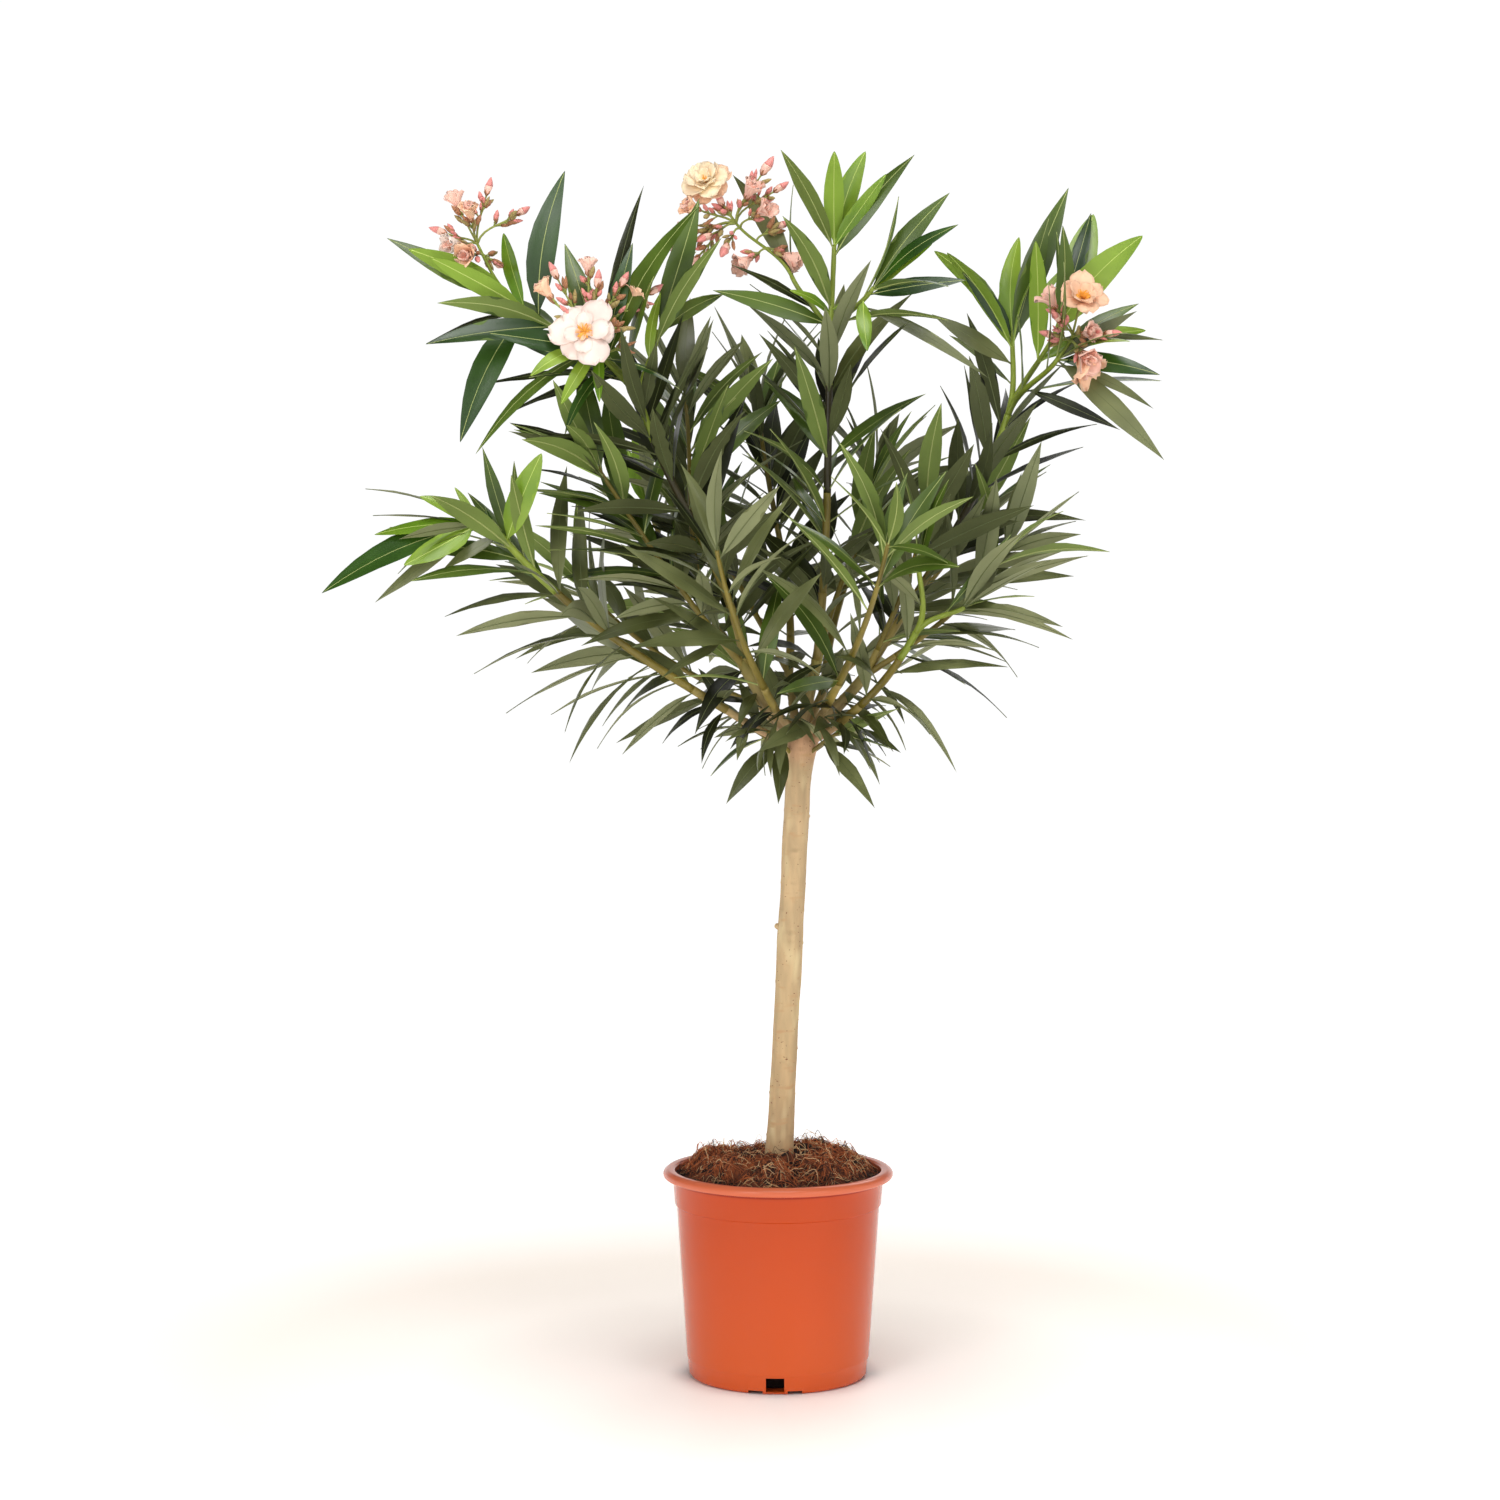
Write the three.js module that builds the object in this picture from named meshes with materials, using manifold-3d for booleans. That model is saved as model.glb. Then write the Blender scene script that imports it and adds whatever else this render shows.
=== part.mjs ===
// Potted oleander trained as a standard: a clear leaning stem in a nursery container, crowned by
// long leafy shoots with apricot blossom. Millimetres, +Z up, the origin on the underside of the
// container below its middle, and -Y towards the side it is looked at from.
import * as THREE from "three";
import { mergeVertices } from "three/addons/utils/BufferGeometryUtils.js";
import Module from "manifold-3d";

const wasm = await Module();
wasm.setup();
const { Manifold } = wasm;

// Container
const RIM_RADIUS = 105;
const RIM_TOP = 190;
const LIP_HEIGHT = 8;
const WALL = 2.2;
const SHOULDER_RADIUS = 96;
const SHOULDER_LOW = RIM_TOP - 33;
const BODY_TOP_RADIUS = 92.5;
const BODY_LOW_RADIUS = 83;
const FOOT_RADIUS = 78.5;
const FOOT_HEIGHT = 17;
const FOOT_ROUNDING = 6;
const POT_SIDES = 32;
const WINDOW = { count: 4, width: 16.5, height: 13 };
const SLIT = { width: 12, height: 1.3, sideways: 21 };

// Soil
const CLEAR = 0.38;
const SEAT_Z = 200;
const SEAT_RADIUS = 17;
const SOIL_EDGE_Z = 184;
const SOIL_CREST_Z = 207;
const SOIL_CREST_RADIUS = 45;
const SOIL_LUMP = 4;

// Stem of the standard
const FOOT_AT = new THREE.Vector3(1, 0, SEAT_Z + CLEAR);
const HEAD_AT = new THREE.Vector3(20, 0, 580);
const HEAD_RADIUS = 16.5;
const TRUNK_SIDES = 14;
const TRUNK_RADII = [
  [0, 13.6],
  [12, 12.7],
  [45, 11.7],
  [150, 11.2],
  [206, 11.9],
  [214, 11.3],
  [345, 11.5],
  [362, 13.2],
  [379, HEAD_RADIUS],
  [389, 14.2],
  [394, 9.5],
  [396, 4],
];
const STUB = { up: 205, side: Math.PI, length: 15.5, radius: 2.6 };

// Shoots
const BOUGH_SIDES = 8;
const STEM_SIDES = 4;
const STALK_SIDES = 3;
const STEM_STEP = 34;
const FORK = { spread: 3.6, radius: 2.7, tilt: 0.35 };
const STEM_TIP_RADIUS = { forked: 2.5, plain: 1.6 };
const ARM = { radius: 2.2, tipRadius: 1.5, whorl: 34, leafShare: 0.9 };
const FLOWER_STALK = { radius: 1.7, tipRadius: 1.3 };
const UP = new THREE.Vector3(0, 0, 1);

// Leaves, with their places along a leaf as shares of its length and their angles in radians
const LEAF = { keel: 0.015, widest: 0.36, keelAt: 0.46, shoulder: 0.7, shoulderWidth: 0.38, outerFrom: 0.16 };
const LEAF_GAP = 0.3;
const LEAF_TRIES = 4;
const LEAF_TURN_STEP = 0.35;
const LEAF_ROLL = 1.5;
const ROOT_DEPTH = 0.75;
const STEM_PITCH = { low: 1.05, high: 0.65, bare: 8 };
const ARM_PITCH = { low: 0.85, high: 0.5, bare: 12 };
const TUFT_LEAVES = 4;
const REACH_BEND = 0.1;
const GOLDEN_ANGLE = Math.PI * (3 - Math.sqrt(5));

// Blossom
const BUD = { radius: 3.4, reach: 28, spread: 18, thickestAt: 0.74 };
const FLOWER_STALK_SUNK = 2;
const FLOWERS_FACE = new THREE.Vector3(0, -1.2, 0.2);

// Short side shoots under the crown, whose leaves hang.
const SKIRT = { lift: -0.3, whorl: 40, leaf: 72, droop: 0.65 };

// Each bough leaves the head of the stem at a bearing, anticlockwise from +X, and a pitch above
// the level, and ends at its tip, where its leafy shoots start.
const BOUGHS = {
  left: { bearing: 178, pitch: 42, radius: 6, tipRadius: 5, tip: [-34, -30, 654] },
  middle: { bearing: 330, pitch: 82, radius: 5.4, tipRadius: 4.8, tip: [36, -10, 660] },
  right: { bearing: 12, pitch: 38, radius: 5.4, tipRadius: 4.8, tip: [84, 2, 646] },
  low_left: { bearing: 205, pitch: 2, radius: 3.6, tipRadius: 3.2, tip: [-54, -34, 614] },
  back_left: { bearing: 120, pitch: 58, radius: 4.2, tipRadius: 3.8, tip: [8, 38, 648] },
  low_right: { bearing: 340, pitch: 2, radius: 4.2, tipRadius: 3.6, tip: [62, -20, 603] },
  back_right: { bearing: 68, pitch: 36, radius: 4.2, tipRadius: 3.8, tip: [46, 40, 632] },
  front_left: { bearing: 248, pitch: 28, radius: 3.8, tipRadius: 3.4, tip: [-6, -42, 616] },
  back_outer: { bearing: 140, pitch: 15, radius: 4.2, tipRadius: 3.8, tip: [-20, 46, 614] },
  front_right: { bearing: 305, pitch: 33, radius: 3.8, tipRadius: 3.4, tip: [46, -48, 620] },
};

// Each shoot is one mass of foliage. It starts at the tip of its bough, or on the side of the
// stem where it names a bearing, and ends at its fork, from which its arms go on. Lift bends an end
// upwards, whorl is the distance between rings of leaves, leaf is their length, and droop how much
// they hang. Reach names the tips of the long leaves that make the crown's outline. A cluster has
// buds and open flowers, each with its radius, at the end of an arm or of the arm's flower stalk.
const SHOOTS = [
  {
    name: "left_upper", bough: "left", to: [-120, -84, 876], lift: 0.3, whorl: 30, leaf: 122,
    arms: [
      { to: [-160, -112, 930], lift: 0.3, buds: 7, flowers: [[-168, -134, 940, 24]] },
      {
        to: [-238, -60, 976], lift: 0.1, stalk: [-266, -54, 1022], buds: 11, flowers: [],
        reach: [[-344, -60, 1028], [-283, -95, 850], [-199, -70, 1085], [-305, -120, 930]],
      },
      { to: [-106, -62, 946], lift: 0.6, reach: [[-79, -50, 1065]] },
    ],
  },
  { name: "left_inner", bough: "left", to: [-84, -14, 890], lift: 0.5, whorl: 32, leaf: 116 },
  { name: "left_outer", bough: "left", to: [-160, -78, 826], lift: 0.1, whorl: 31, leaf: 116 },
  {
    name: "middle_leader", bough: "middle", to: [46, -12, 935], lift: 0.6, whorl: 30, leaf: 122,
    arms: [
      { to: [50, 0, 1026], lift: 0.8, reach: [[71, 0, 1111], [117, -10, 1108]] },
      { to: [84, -40, 985], lift: 0.1, reach: [[147, -40, 1071], [164, -60, 990], [78, -64, 929]] },
      {
        to: [12, 0, 998], lift: 0.2, stalk: [-38, 8, 1046], buds: 11, flowers: [[-66, -4, 1084, 22]],
        reach: [[-38, 52, 1098]],
      },
    ],
  },
  { name: "middle_back", bough: "middle", to: [86, 84, 812], lift: 0.5, whorl: 34, leaf: 114 },
  {
    name: "right_leader", bough: "right", to: [209, 30, 875], lift: 0.6, whorl: 30, leaf: 120,
    arms: [
      { to: [214, 44, 952], lift: 0.8, reach: [[254, 40, 1084], [170, 30, 1006]] },
      { to: [254, 10, 960], lift: 0.8, reach: [[286, 60, 1063], [323, 0, 1037], [348, 14, 942]] },
      {
        to: [250, -20, 924], lift: 0.2, stalk: [262, -26, 942], buds: 6,
        flowers: [[270, -40, 978, 22], [284, -48, 914, 15]], reach: [[344, -40, 835]],
      },
    ],
  },
  { name: "right_inner", bough: "right", to: [132, -34, 786], lift: 0.6, whorl: 30, leaf: 114 },
  { name: "right_outer", bough: "right", to: [206, -8, 752], lift: 0.4, whorl: 30, leaf: 112 },
  {
    name: "low_left_leader", bough: "low_left", to: [-244, -88, 765], lift: 0.3, whorl: 30, leaf: 116,
    reach: [[-208, -126, 838]],
    arms: [
      {
        to: [-266, -96, 774], lift: -0.2, reach: [[-398, -110, 716], [-353, -100, 766], [-313, -100, 800]],
      },
    ],
  },
  { name: "back_left_leader", bough: "back_left", to: [-18, 96, 886], lift: 0.6, whorl: 34, leaf: 118 },
  { name: "back_left_inner", bough: "back_left", to: [-92, 80, 845], lift: 0.4, whorl: 34, leaf: 114 },
  {
    name: "low_right_leader", bough: "low_right", to: [122, -60, 680], lift: 0.3, whorl: 30, leaf: 112,
    arms: [
      { to: [164, -72, 702], lift: 0 },
      { to: [122, -92, 744], lift: 0.5 },
    ],
  },
  { name: "back_right_leader", bough: "back_right", to: [96, 168, 828], lift: 0.6, whorl: 34, leaf: 116 },
  { name: "back_right_outer", bough: "back_right", to: [188, 130, 785], lift: 0.3, whorl: 34, leaf: 114 },
  { name: "front_left_leader", bough: "front_left", to: [-54, -165, 752], lift: 0.5, whorl: 30, leaf: 108 },
  { name: "back_outer_leader", bough: "back_outer", to: [-124, 186, 796], lift: 0.5, whorl: 34, leaf: 114 },
  { name: "back_outer_low", bough: "back_outer", to: [-178, 92, 716], lift: 0.4, whorl: 34, leaf: 110 },
  { name: "front_right_leader", bough: "front_right", to: [92, -172, 758], lift: 0.5, whorl: 30, leaf: 110 },
  { name: "skirt_left", bearing: 176, height: 568, to: [-34, -6, 594], ...SKIRT },
  { name: "skirt_front", bearing: 226, height: 566, to: [-10, -36, 590], ...SKIRT },
  { name: "skirt_right", bearing: 322, height: 566, to: [54, -28, 588], ...SKIRT },
  { name: "skirt_side", bearing: 20, height: 566, to: [66, 18, 592], ...SKIRT },
  { name: "skirt_back", bearing: 90, height: 566, to: [24, 50, 590], ...SKIRT },
];

const MATERIALS = {
  pot: new THREE.MeshStandardMaterial({ color: 0xc9552c, roughness: 0.42, metalness: 0 }),
  soil: new THREE.MeshStandardMaterial({ color: 0x4a2c1c, roughness: 1, metalness: 0 }),
  bark: new THREE.MeshStandardMaterial({ color: 0xc9ab7c, roughness: 0.8, metalness: 0 }),
  bough: new THREE.MeshStandardMaterial({ color: 0x9a8348, roughness: 0.75, metalness: 0 }),
  foliage: new THREE.MeshStandardMaterial({ color: 0x4a5d2b, roughness: 0.55, metalness: 0 }),
};

const group = new THREE.Group();
group.name = "potted_oleander";
const occupied = [];

// Repeatable random numbers from 0 to 1.
function randomFrom(seed) {
  let state = seed >>> 0;
  return () => {
    state = (state + 0x6d2b79f5) >>> 0;
    let mixed = Math.imul(state ^ (state >>> 15), state | 1);
    mixed ^= mixed + Math.imul(mixed ^ (mixed >>> 7), mixed | 61);
    return ((mixed ^ (mixed >>> 14)) >>> 0) / 4294967296;
  };
}

function bearingVector(bearing, pitch) {
  const turn = THREE.MathUtils.degToRad(bearing);
  const rise = THREE.MathUtils.degToRad(pitch);
  return new THREE.Vector3(Math.cos(turn) * Math.cos(rise), Math.sin(turn) * Math.cos(rise), Math.sin(rise));
}

// A closed three.js geometry as a manifold-3d solid, turned right side out.
function solidOf(geometry) {
  const bare = geometry.clone();
  bare.deleteAttribute("normal");
  bare.deleteAttribute("uv");
  const merged = mergeVertices(bare, 1e-4);
  return new Manifold(
    new wasm.Mesh({
      numProp: 3,
      vertProperties: new Float32Array(merged.attributes.position.array),
      triVerts: new Uint32Array(merged.index.array),
    }),
  );
}

function geometryFrom(points, index) {
  const geometry = new THREE.BufferGeometry();
  geometry.setAttribute("position", new THREE.Float32BufferAttribute(points.flatMap((p) => p.toArray()), 3));
  geometry.setIndex(index);
  return geometry;
}

function addMesh(name, solid, material) {
  const data = solid.getMesh();
  const geometry = new THREE.BufferGeometry();
  geometry.setAttribute("position", new THREE.BufferAttribute(data.vertProperties, 3));
  geometry.setIndex(new THREE.BufferAttribute(data.triVerts, 1));
  geometry.computeVertexNormals();
  const mesh = new THREE.Mesh(geometry, material.clone());
  mesh.name = name;
  group.add(mesh);
}

// The outer skin of the largest body in a solid, with scraps and sealed hollows left out.
function largestBody(solid) {
  return solid.decompose().reduce((best, body) => (body.volume() > best.volume() ? body : best));
}

function occupy(owner, solid, outer = solid) {
  occupied.push({ owner, solid, outer, box: solid.boundingBox() });
}

function boxesMeet(a, b, gap) {
  return [0, 1, 2].every((i) => a.min[i] - gap < b.max[i] && b.min[i] - gap < a.max[i]);
}

function touches(a, b) {
  return a.minGap(b, LEAF_GAP) < LEAF_GAP;
}

// Whether a piece keeps its gap to everything placed so far. Inside its own mass only outer parts
// have to keep it, because the roots meet in the stem, and a piece with no outer part need not.
function isFree(owner, solid, outer) {
  const box = solid.boundingBox();
  return !occupied.some((other) => {
    if (!boxesMeet(box, other.box, LEAF_GAP)) return false;
    if (other.owner !== owner) return touches(solid, other.solid);
    return outer !== undefined && touches(outer, other.outer);
  });
}

// A geometry from rings of points with the same count, closed by flat ends.
function loft(rings) {
  const sides = rings[0].length;
  const index = [];
  for (let r = 0; r + 1 < rings.length; r++)
    for (let s = 0; s < sides; s++) {
      const [a, b] = [r * sides + s, r * sides + ((s + 1) % sides)];
      index.push(a, b, b + sides, a, b + sides, a + sides);
    }
  const last = (rings.length - 1) * sides;
  for (let s = 1; s + 1 < sides; s++) {
    index.push(0, s + 1, s);
    index.push(last, last + s, last + s + 1);
  }
  return geometryFrom(rings.flat(), index);
}

// The row axis that lies most across a direction.
function acrossAxis(direction) {
  const size = direction.toArray().map(Math.abs);
  return new THREE.Vector3().setComponent(size.indexOf(Math.min(...size)), 1);
}

// Two directions across a tangent, steady along a whole limb because they start from one axis.
function frameAt(tangent, axis) {
  const u = axis.clone().addScaledVector(tangent, -axis.dot(tangent)).normalize();
  return { u, v: tangent.clone().cross(u) };
}

function ringAt(centre, tangent, axis, radius, sides) {
  const { u, v } = frameAt(tangent, axis);
  return Array.from({ length: sides }, (_, s) => {
    const turn = (2 * Math.PI * s) / sides;
    return centre
      .clone()
      .addScaledVector(u, radius * Math.cos(turn))
      .addScaledVector(v, radius * Math.sin(turn));
  });
}

// A tapering limb along a curve.
function limb(curve, radius, tipRadius, sides, steps) {
  const axis = acrossAxis(curve.getPoint(1).sub(curve.getPoint(0)));
  const rings = [];
  for (let i = 0; i <= steps; i++) {
    const t = i / steps;
    const thickness = radius + (tipRadius - radius) * t;
    rings.push(ringAt(curve.getPoint(t), curve.getTangent(t), axis, thickness, sides));
  }
  return solidOf(loft(rings));
}

// A curve that leaves a point in one direction and rises by lift as it reaches its end.
function limbCurve(from, direction, to, lift) {
  const chord = to.clone().sub(from);
  const reach = chord.length();
  const arrive = chord.clone().normalize().addScaledVector(UP, lift).normalize();
  return new THREE.CubicBezierCurve3(
    from,
    from.clone().addScaledVector(direction, reach * 0.38),
    to.clone().addScaledVector(arrive, -reach * 0.34),
    to,
  );
}

// A leaf of ten faces with a keel below its widest part, bent towards its sag direction, from a
// share of its length on to its tip.
function leafSolid({ root, along, face, sag, length, width, bend }, from) {
  const side = along.clone().cross(face).normalize();
  const at = (share, aside, down) =>
    root
      .clone()
      .addScaledVector(along, length * share)
      .addScaledVector(sag, bend * length * share * share)
      .addScaledVector(side, aside)
      .addScaledVector(face, -down);
  const shoulder = width * LEAF.shoulderWidth;
  const points = [
    at(from, 0, 0),
    at(LEAF.widest, width / 2, 0),
    at(LEAF.widest, -width / 2, 0),
    at(LEAF.keelAt, 0, LEAF.keel * length),
    at(LEAF.shoulder, shoulder, 0),
    at(LEAF.shoulder, -shoulder, 0),
    at(1, 0, 0),
  ];
  const upper = [0, 1, 2, 1, 4, 5, 1, 5, 2, 4, 6, 5];
  const lower = [0, 3, 1, 0, 2, 3, 1, 3, 4, 2, 5, 3, 3, 6, 4, 3, 5, 6];
  return solidOf(geometryFrom(points, [...upper, ...lower]));
}

// Where a leaf sits on a stem and how it spreads, in numbers that one seed gives.
function leafPose({ line, share, turn, pitch, length, droop, seed }) {
  const random = randomFrom(seed);
  const wobble = (size) => (random() - 0.5) * size;
  const tangent = line.curve.getTangent(share);
  const { u, v } = frameAt(tangent, line.axis);
  const around = turn + wobble(0.5);
  const spread = pitch + wobble(0.3);
  const outward = u.multiplyScalar(Math.cos(around)).addScaledVector(v, Math.sin(around));
  const thickness = line.radius + (line.tipRadius - line.radius) * share;
  const root = line.curve.getPoint(share).addScaledVector(outward, thickness * (1 - ROOT_DEPTH));
  const along = tangent.clone().multiplyScalar(Math.cos(spread)).addScaledVector(outward, Math.sin(spread));
  along.addScaledVector(UP, -droop).normalize();
  const face = tangent.clone().multiplyScalar(0.7).addScaledVector(UP, 0.5);
  face.addScaledVector(along, -face.dot(along)).normalize().applyAxisAngle(along, wobble(LEAF_ROLL));
  const sag = outward.clone().multiplyScalar(0.35).addScaledVector(UP, -1);
  sag.addScaledVector(along, -sag.dot(along)).normalize();
  const full = length * (0.84 + 0.3 * random());
  const width = full * (0.165 + 0.04 * random());
  const bend = 0.03 + 0.17 * random() * Math.sin(spread);
  return { root, along, face, sag, length: full, width, bend };
}

// A leaf whose tip lies at a point, for the crown's outline.
function reachingPose({ line, share, tip, seed }) {
  const random = randomFrom(seed);
  const root = line.curve.getPoint(share);
  const along = tip.clone().sub(root);
  const length = along.length();
  along.addScaledVector(UP, REACH_BEND * length).normalize();
  const face = UP.clone().addScaledVector(line.curve.getTangent(share), 0.3);
  face.addScaledVector(along, -face.dot(along)).normalize();
  face.applyAxisAngle(along, (random() - 0.5) * LEAF_ROLL);
  const sag = UP.clone().negate().addScaledVector(along, along.z).normalize();
  const width = length * (0.15 + 0.03 * random());
  return { root, along, face, sag, length, width, bend: REACH_BEND };
}

function addLeaf(mass, pose) {
  const solid = leafSolid(pose, 0);
  const outer = leafSolid(pose, LEAF.outerFrom);
  if (!isFree(mass.name, solid, outer)) return false;
  mass.solids.push(solid);
  occupy(mass.name, solid, outer);
  return true;
}

// Tries a leaf in its own pose, then turned round its stem a little, and leaves it out if it would
// touch a limb or another leaf each time.
function placeLeaf(mass, spec) {
  for (let attempt = 0; attempt < LEAF_TRIES; attempt++) {
    const turn = spec.turn + attempt * LEAF_TURN_STEP;
    const seed = spec.seed + attempt * 7919;
    if (addLeaf(mass, leafPose({ ...spec, turn, seed }))) return;
  }
}

// The long leaves of a stem that make the crown's outline, from near its end backwards.
function addReach(mass, line) {
  (line.spec.reach ?? []).forEach((tip, i) => {
    const pose = reachingPose({
      line,
      share: 0.97 - 0.09 * i,
      tip: new THREE.Vector3(...tip),
      seed: line.seed + 555 + i,
    });
    if (!addLeaf(mass, pose)) throw new Error(`a long leaf of ${mass.name} touches something`);
  });
}

// Whorls of three along a stem, each a sixth of a turn on from the one below, then a tuft.
function dressStem(mass, line, style) {
  const { droop, leaf } = style;
  const length = line.curve.getLength();
  const room = length - style.bare;
  const count = Math.max(1, Math.round(room / style.whorl));
  for (let i = 0; i < count; i++) {
    const share = (style.bare + (i + 0.5) * (room / count)) / length;
    for (let k = 0; k < 3; k++)
      placeLeaf(mass, {
        line,
        share,
        droop,
        turn: line.phase + (i * Math.PI) / 3 + (k * 2 * Math.PI) / 3,
        pitch: style.low + (style.high - style.low) * share,
        length: leaf * (0.84 + 0.2 * Math.sin(Math.PI * share)),
        seed: line.seed + i * 31 + k * 7,
      });
  }
  for (let k = 0; k < style.tuft; k++) {
    const back = style.tuft - k;
    placeLeaf(mass, {
      line,
      share: 1 - 0.012 * back,
      droop,
      turn: line.phase + k * GOLDEN_ANGLE,
      pitch: 0.2 + 0.12 * back,
      length: leaf * (0.98 - 0.05 * k),
      seed: line.seed + 977 + k * 13,
    });
  }
}

// A bud with its stalk as one four-sided spindle, thickest near its tip.
function budSolid(root, way, from, reach) {
  const start = root.clone().addScaledVector(way, from);
  const tip = root.clone().addScaledVector(way, reach);
  const middle = start.clone().lerp(tip, BUD.thickestAt);
  const ring = ringAt(middle, way, acrossAxis(way), BUD.radius, 4);
  const index = [0, 2, 1, 0, 3, 2, 0, 4, 3, 0, 1, 4, 5, 1, 2, 5, 2, 3, 5, 3, 4, 5, 4, 1];
  return solidOf(geometryFrom([start, ...ring, tip], index));
}

// An open double flower as a shallow faceted cup that faces along a direction.
function flowerSolid(centre, direction, radius) {
  const profile = [[0, -8], [radius * 0.72, -3], [radius, 4], [0, 8]];
  const geometry = new THREE.LatheGeometry(profile.map(([x, y]) => new THREE.Vector2(x, y)), 8);
  geometry.rotateX(Math.PI / 2);
  geometry.applyQuaternion(new THREE.Quaternion().setFromUnitVectors(UP, direction));
  geometry.translate(centre.x, centre.y, centre.z);
  return solidOf(geometry);
}

// A flower cluster at the end of a stem: open flowers on stalks of their own, and buds that spread
// round the stem's direction.
function addCluster(mass, line) {
  const random = randomFrom(line.seed + 5);
  const end = line.curve.getPoint(1);
  const direction = line.curve.getTangent(1);
  const { u, v } = frameAt(direction, line.axis);
  for (const [x, y, z, radius] of line.spec.flowers) {
    const centre = new THREE.Vector3(x, y, z);
    const root = end.clone().addScaledVector(direction, -FLOWER_STALK_SUNK);
    const facing = centre.clone().sub(root).normalize().add(FLOWERS_FACE).normalize();
    const stalk = limb(new THREE.LineCurve3(root, centre), 1.3, 1.1, STALK_SIDES, 1);
    for (const solid of [stalk, flowerSolid(centre, facing, radius)]) {
      if (!isFree(mass.name, solid)) throw new Error(`a flower of ${mass.name} touches something`);
      mass.solids.push(solid);
      occupy(mass.name, solid);
    }
  }
  const { buds } = line.spec;
  for (let i = 0; i < buds; i++) {
    const turn = i * GOLDEN_ANGLE;
    const tilt = 0.2 + 1.05 * Math.sqrt((i + 0.5) / buds);
    const way = direction
      .clone()
      .multiplyScalar(Math.cos(tilt))
      .addScaledVector(u, Math.sin(tilt) * Math.cos(turn))
      .addScaledVector(v, Math.sin(tilt) * Math.sin(turn));
    const root = end.clone().addScaledVector(direction, -1 - 10 * random());
    const reach = BUD.reach + BUD.spread * random();
    const solid = budSolid(root, way, 0, reach);
    const outer = budSolid(root, way, reach * 0.5, reach);
    if (!isFree(mass.name, solid, outer)) continue;
    mass.solids.push(solid);
    occupy(mass.name, solid, outer);
  }
}

function stepsFor(curve) {
  return Math.max(2, Math.round(curve.getLength() / STEM_STEP));
}

function potSolid() {
  const inner = (radius) => radius - WALL;
  const lipLow = RIM_TOP - LIP_HEIGHT;
  const profile = [
    [0, 0],
    [FOOT_RADIUS, 0],
    [BODY_LOW_RADIUS - 1.4, FOOT_ROUNDING],
    [BODY_LOW_RADIUS, FOOT_HEIGHT],
    [BODY_TOP_RADIUS, SHOULDER_LOW],
    [BODY_TOP_RADIUS + 1.3, SHOULDER_LOW + 1.5],
    [SHOULDER_RADIUS, lipLow],
    [RIM_RADIUS - 2.5, lipLow],
    [RIM_RADIUS, lipLow + 3],
    [RIM_RADIUS - 1.6, RIM_TOP],
    [inner(SHOULDER_RADIUS) + 2, RIM_TOP - 1],
    [inner(SHOULDER_RADIUS), lipLow],
    [inner(BODY_TOP_RADIUS), SHOULDER_LOW],
    [inner(BODY_LOW_RADIUS), FOOT_HEIGHT],
    [inner(BODY_LOW_RADIUS) - 3, WALL],
    [0, WALL],
  ].map(([x, y]) => new THREE.Vector2(x, y));
  const shell = new THREE.LatheGeometry(profile, POT_SIDES);
  shell.rotateX(Math.PI / 2);
  let solid = solidOf(shell);
  for (let i = 0; i < WINDOW.count; i++) {
    const turn = (2 * Math.PI * i) / WINDOW.count - Math.PI / 2;
    const cutter = new THREE.BoxGeometry(16, WINDOW.width, WINDOW.height);
    cutter.translate(FOOT_RADIUS + 2, 0, WALL + WINDOW.height / 2);
    cutter.rotateZ(turn);
    solid = solid.subtract(solidOf(cutter));
    for (const side of [-1, 1]) {
      const slit = new THREE.BoxGeometry(14, SLIT.width, 2 * SLIT.height);
      slit.translate(FOOT_RADIUS, side * SLIT.sideways, 0);
      slit.rotateZ(turn);
      solid = solid.subtract(solidOf(slit));
    }
  }
  return solid;
}

function lumpAt(radius, turn) {
  const wave = Math.sin(3 * turn + radius / 13) + Math.cos(5 * turn - radius / 9) + Math.sin(8 * turn + 2);
  return (SOIL_LUMP / 3) * wave;
}

// The coir and soil that fill the container, with a flat seat for the foot of the stem.
function soilSolid() {
  const gap = CLEAR + 0.3;
  const inner = (radius) => radius - WALL - gap;
  const edge = inner(BODY_TOP_RADIUS) + 1.2;
  const shares = [1, 0.78, 0.54, 0.33];
  const rings = [
    [inner(BODY_LOW_RADIUS) - 3.4, WALL + gap],
    [inner(BODY_LOW_RADIUS), FOOT_HEIGHT],
    [inner(BODY_TOP_RADIUS), SHOULDER_LOW],
  ].map(([radius, z]) => soilRing(radius, () => z));
  for (const share of shares) {
    const radius = edge * share;
    const crest = Math.exp(-(((radius - SOIL_CREST_RADIUS) / 34) ** 2));
    const level = SOIL_EDGE_Z + (SOIL_CREST_Z - SOIL_EDGE_Z) * crest;
    const rough = share === 1 ? 0.3 : 1;
    rings.push(soilRing(radius, (turn) => level + rough * lumpAt(radius, turn)));
  }
  rings.push(soilRing(SEAT_RADIUS, () => SEAT_Z));
  return solidOf(loft(rings));
}

function soilRing(radius, heightAt) {
  return Array.from({ length: POT_SIDES }, (_, s) => {
    const turn = (2 * Math.PI * s) / POT_SIDES;
    return new THREE.Vector3(radius * Math.cos(turn), radius * Math.sin(turn), heightAt(turn));
  });
}

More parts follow.
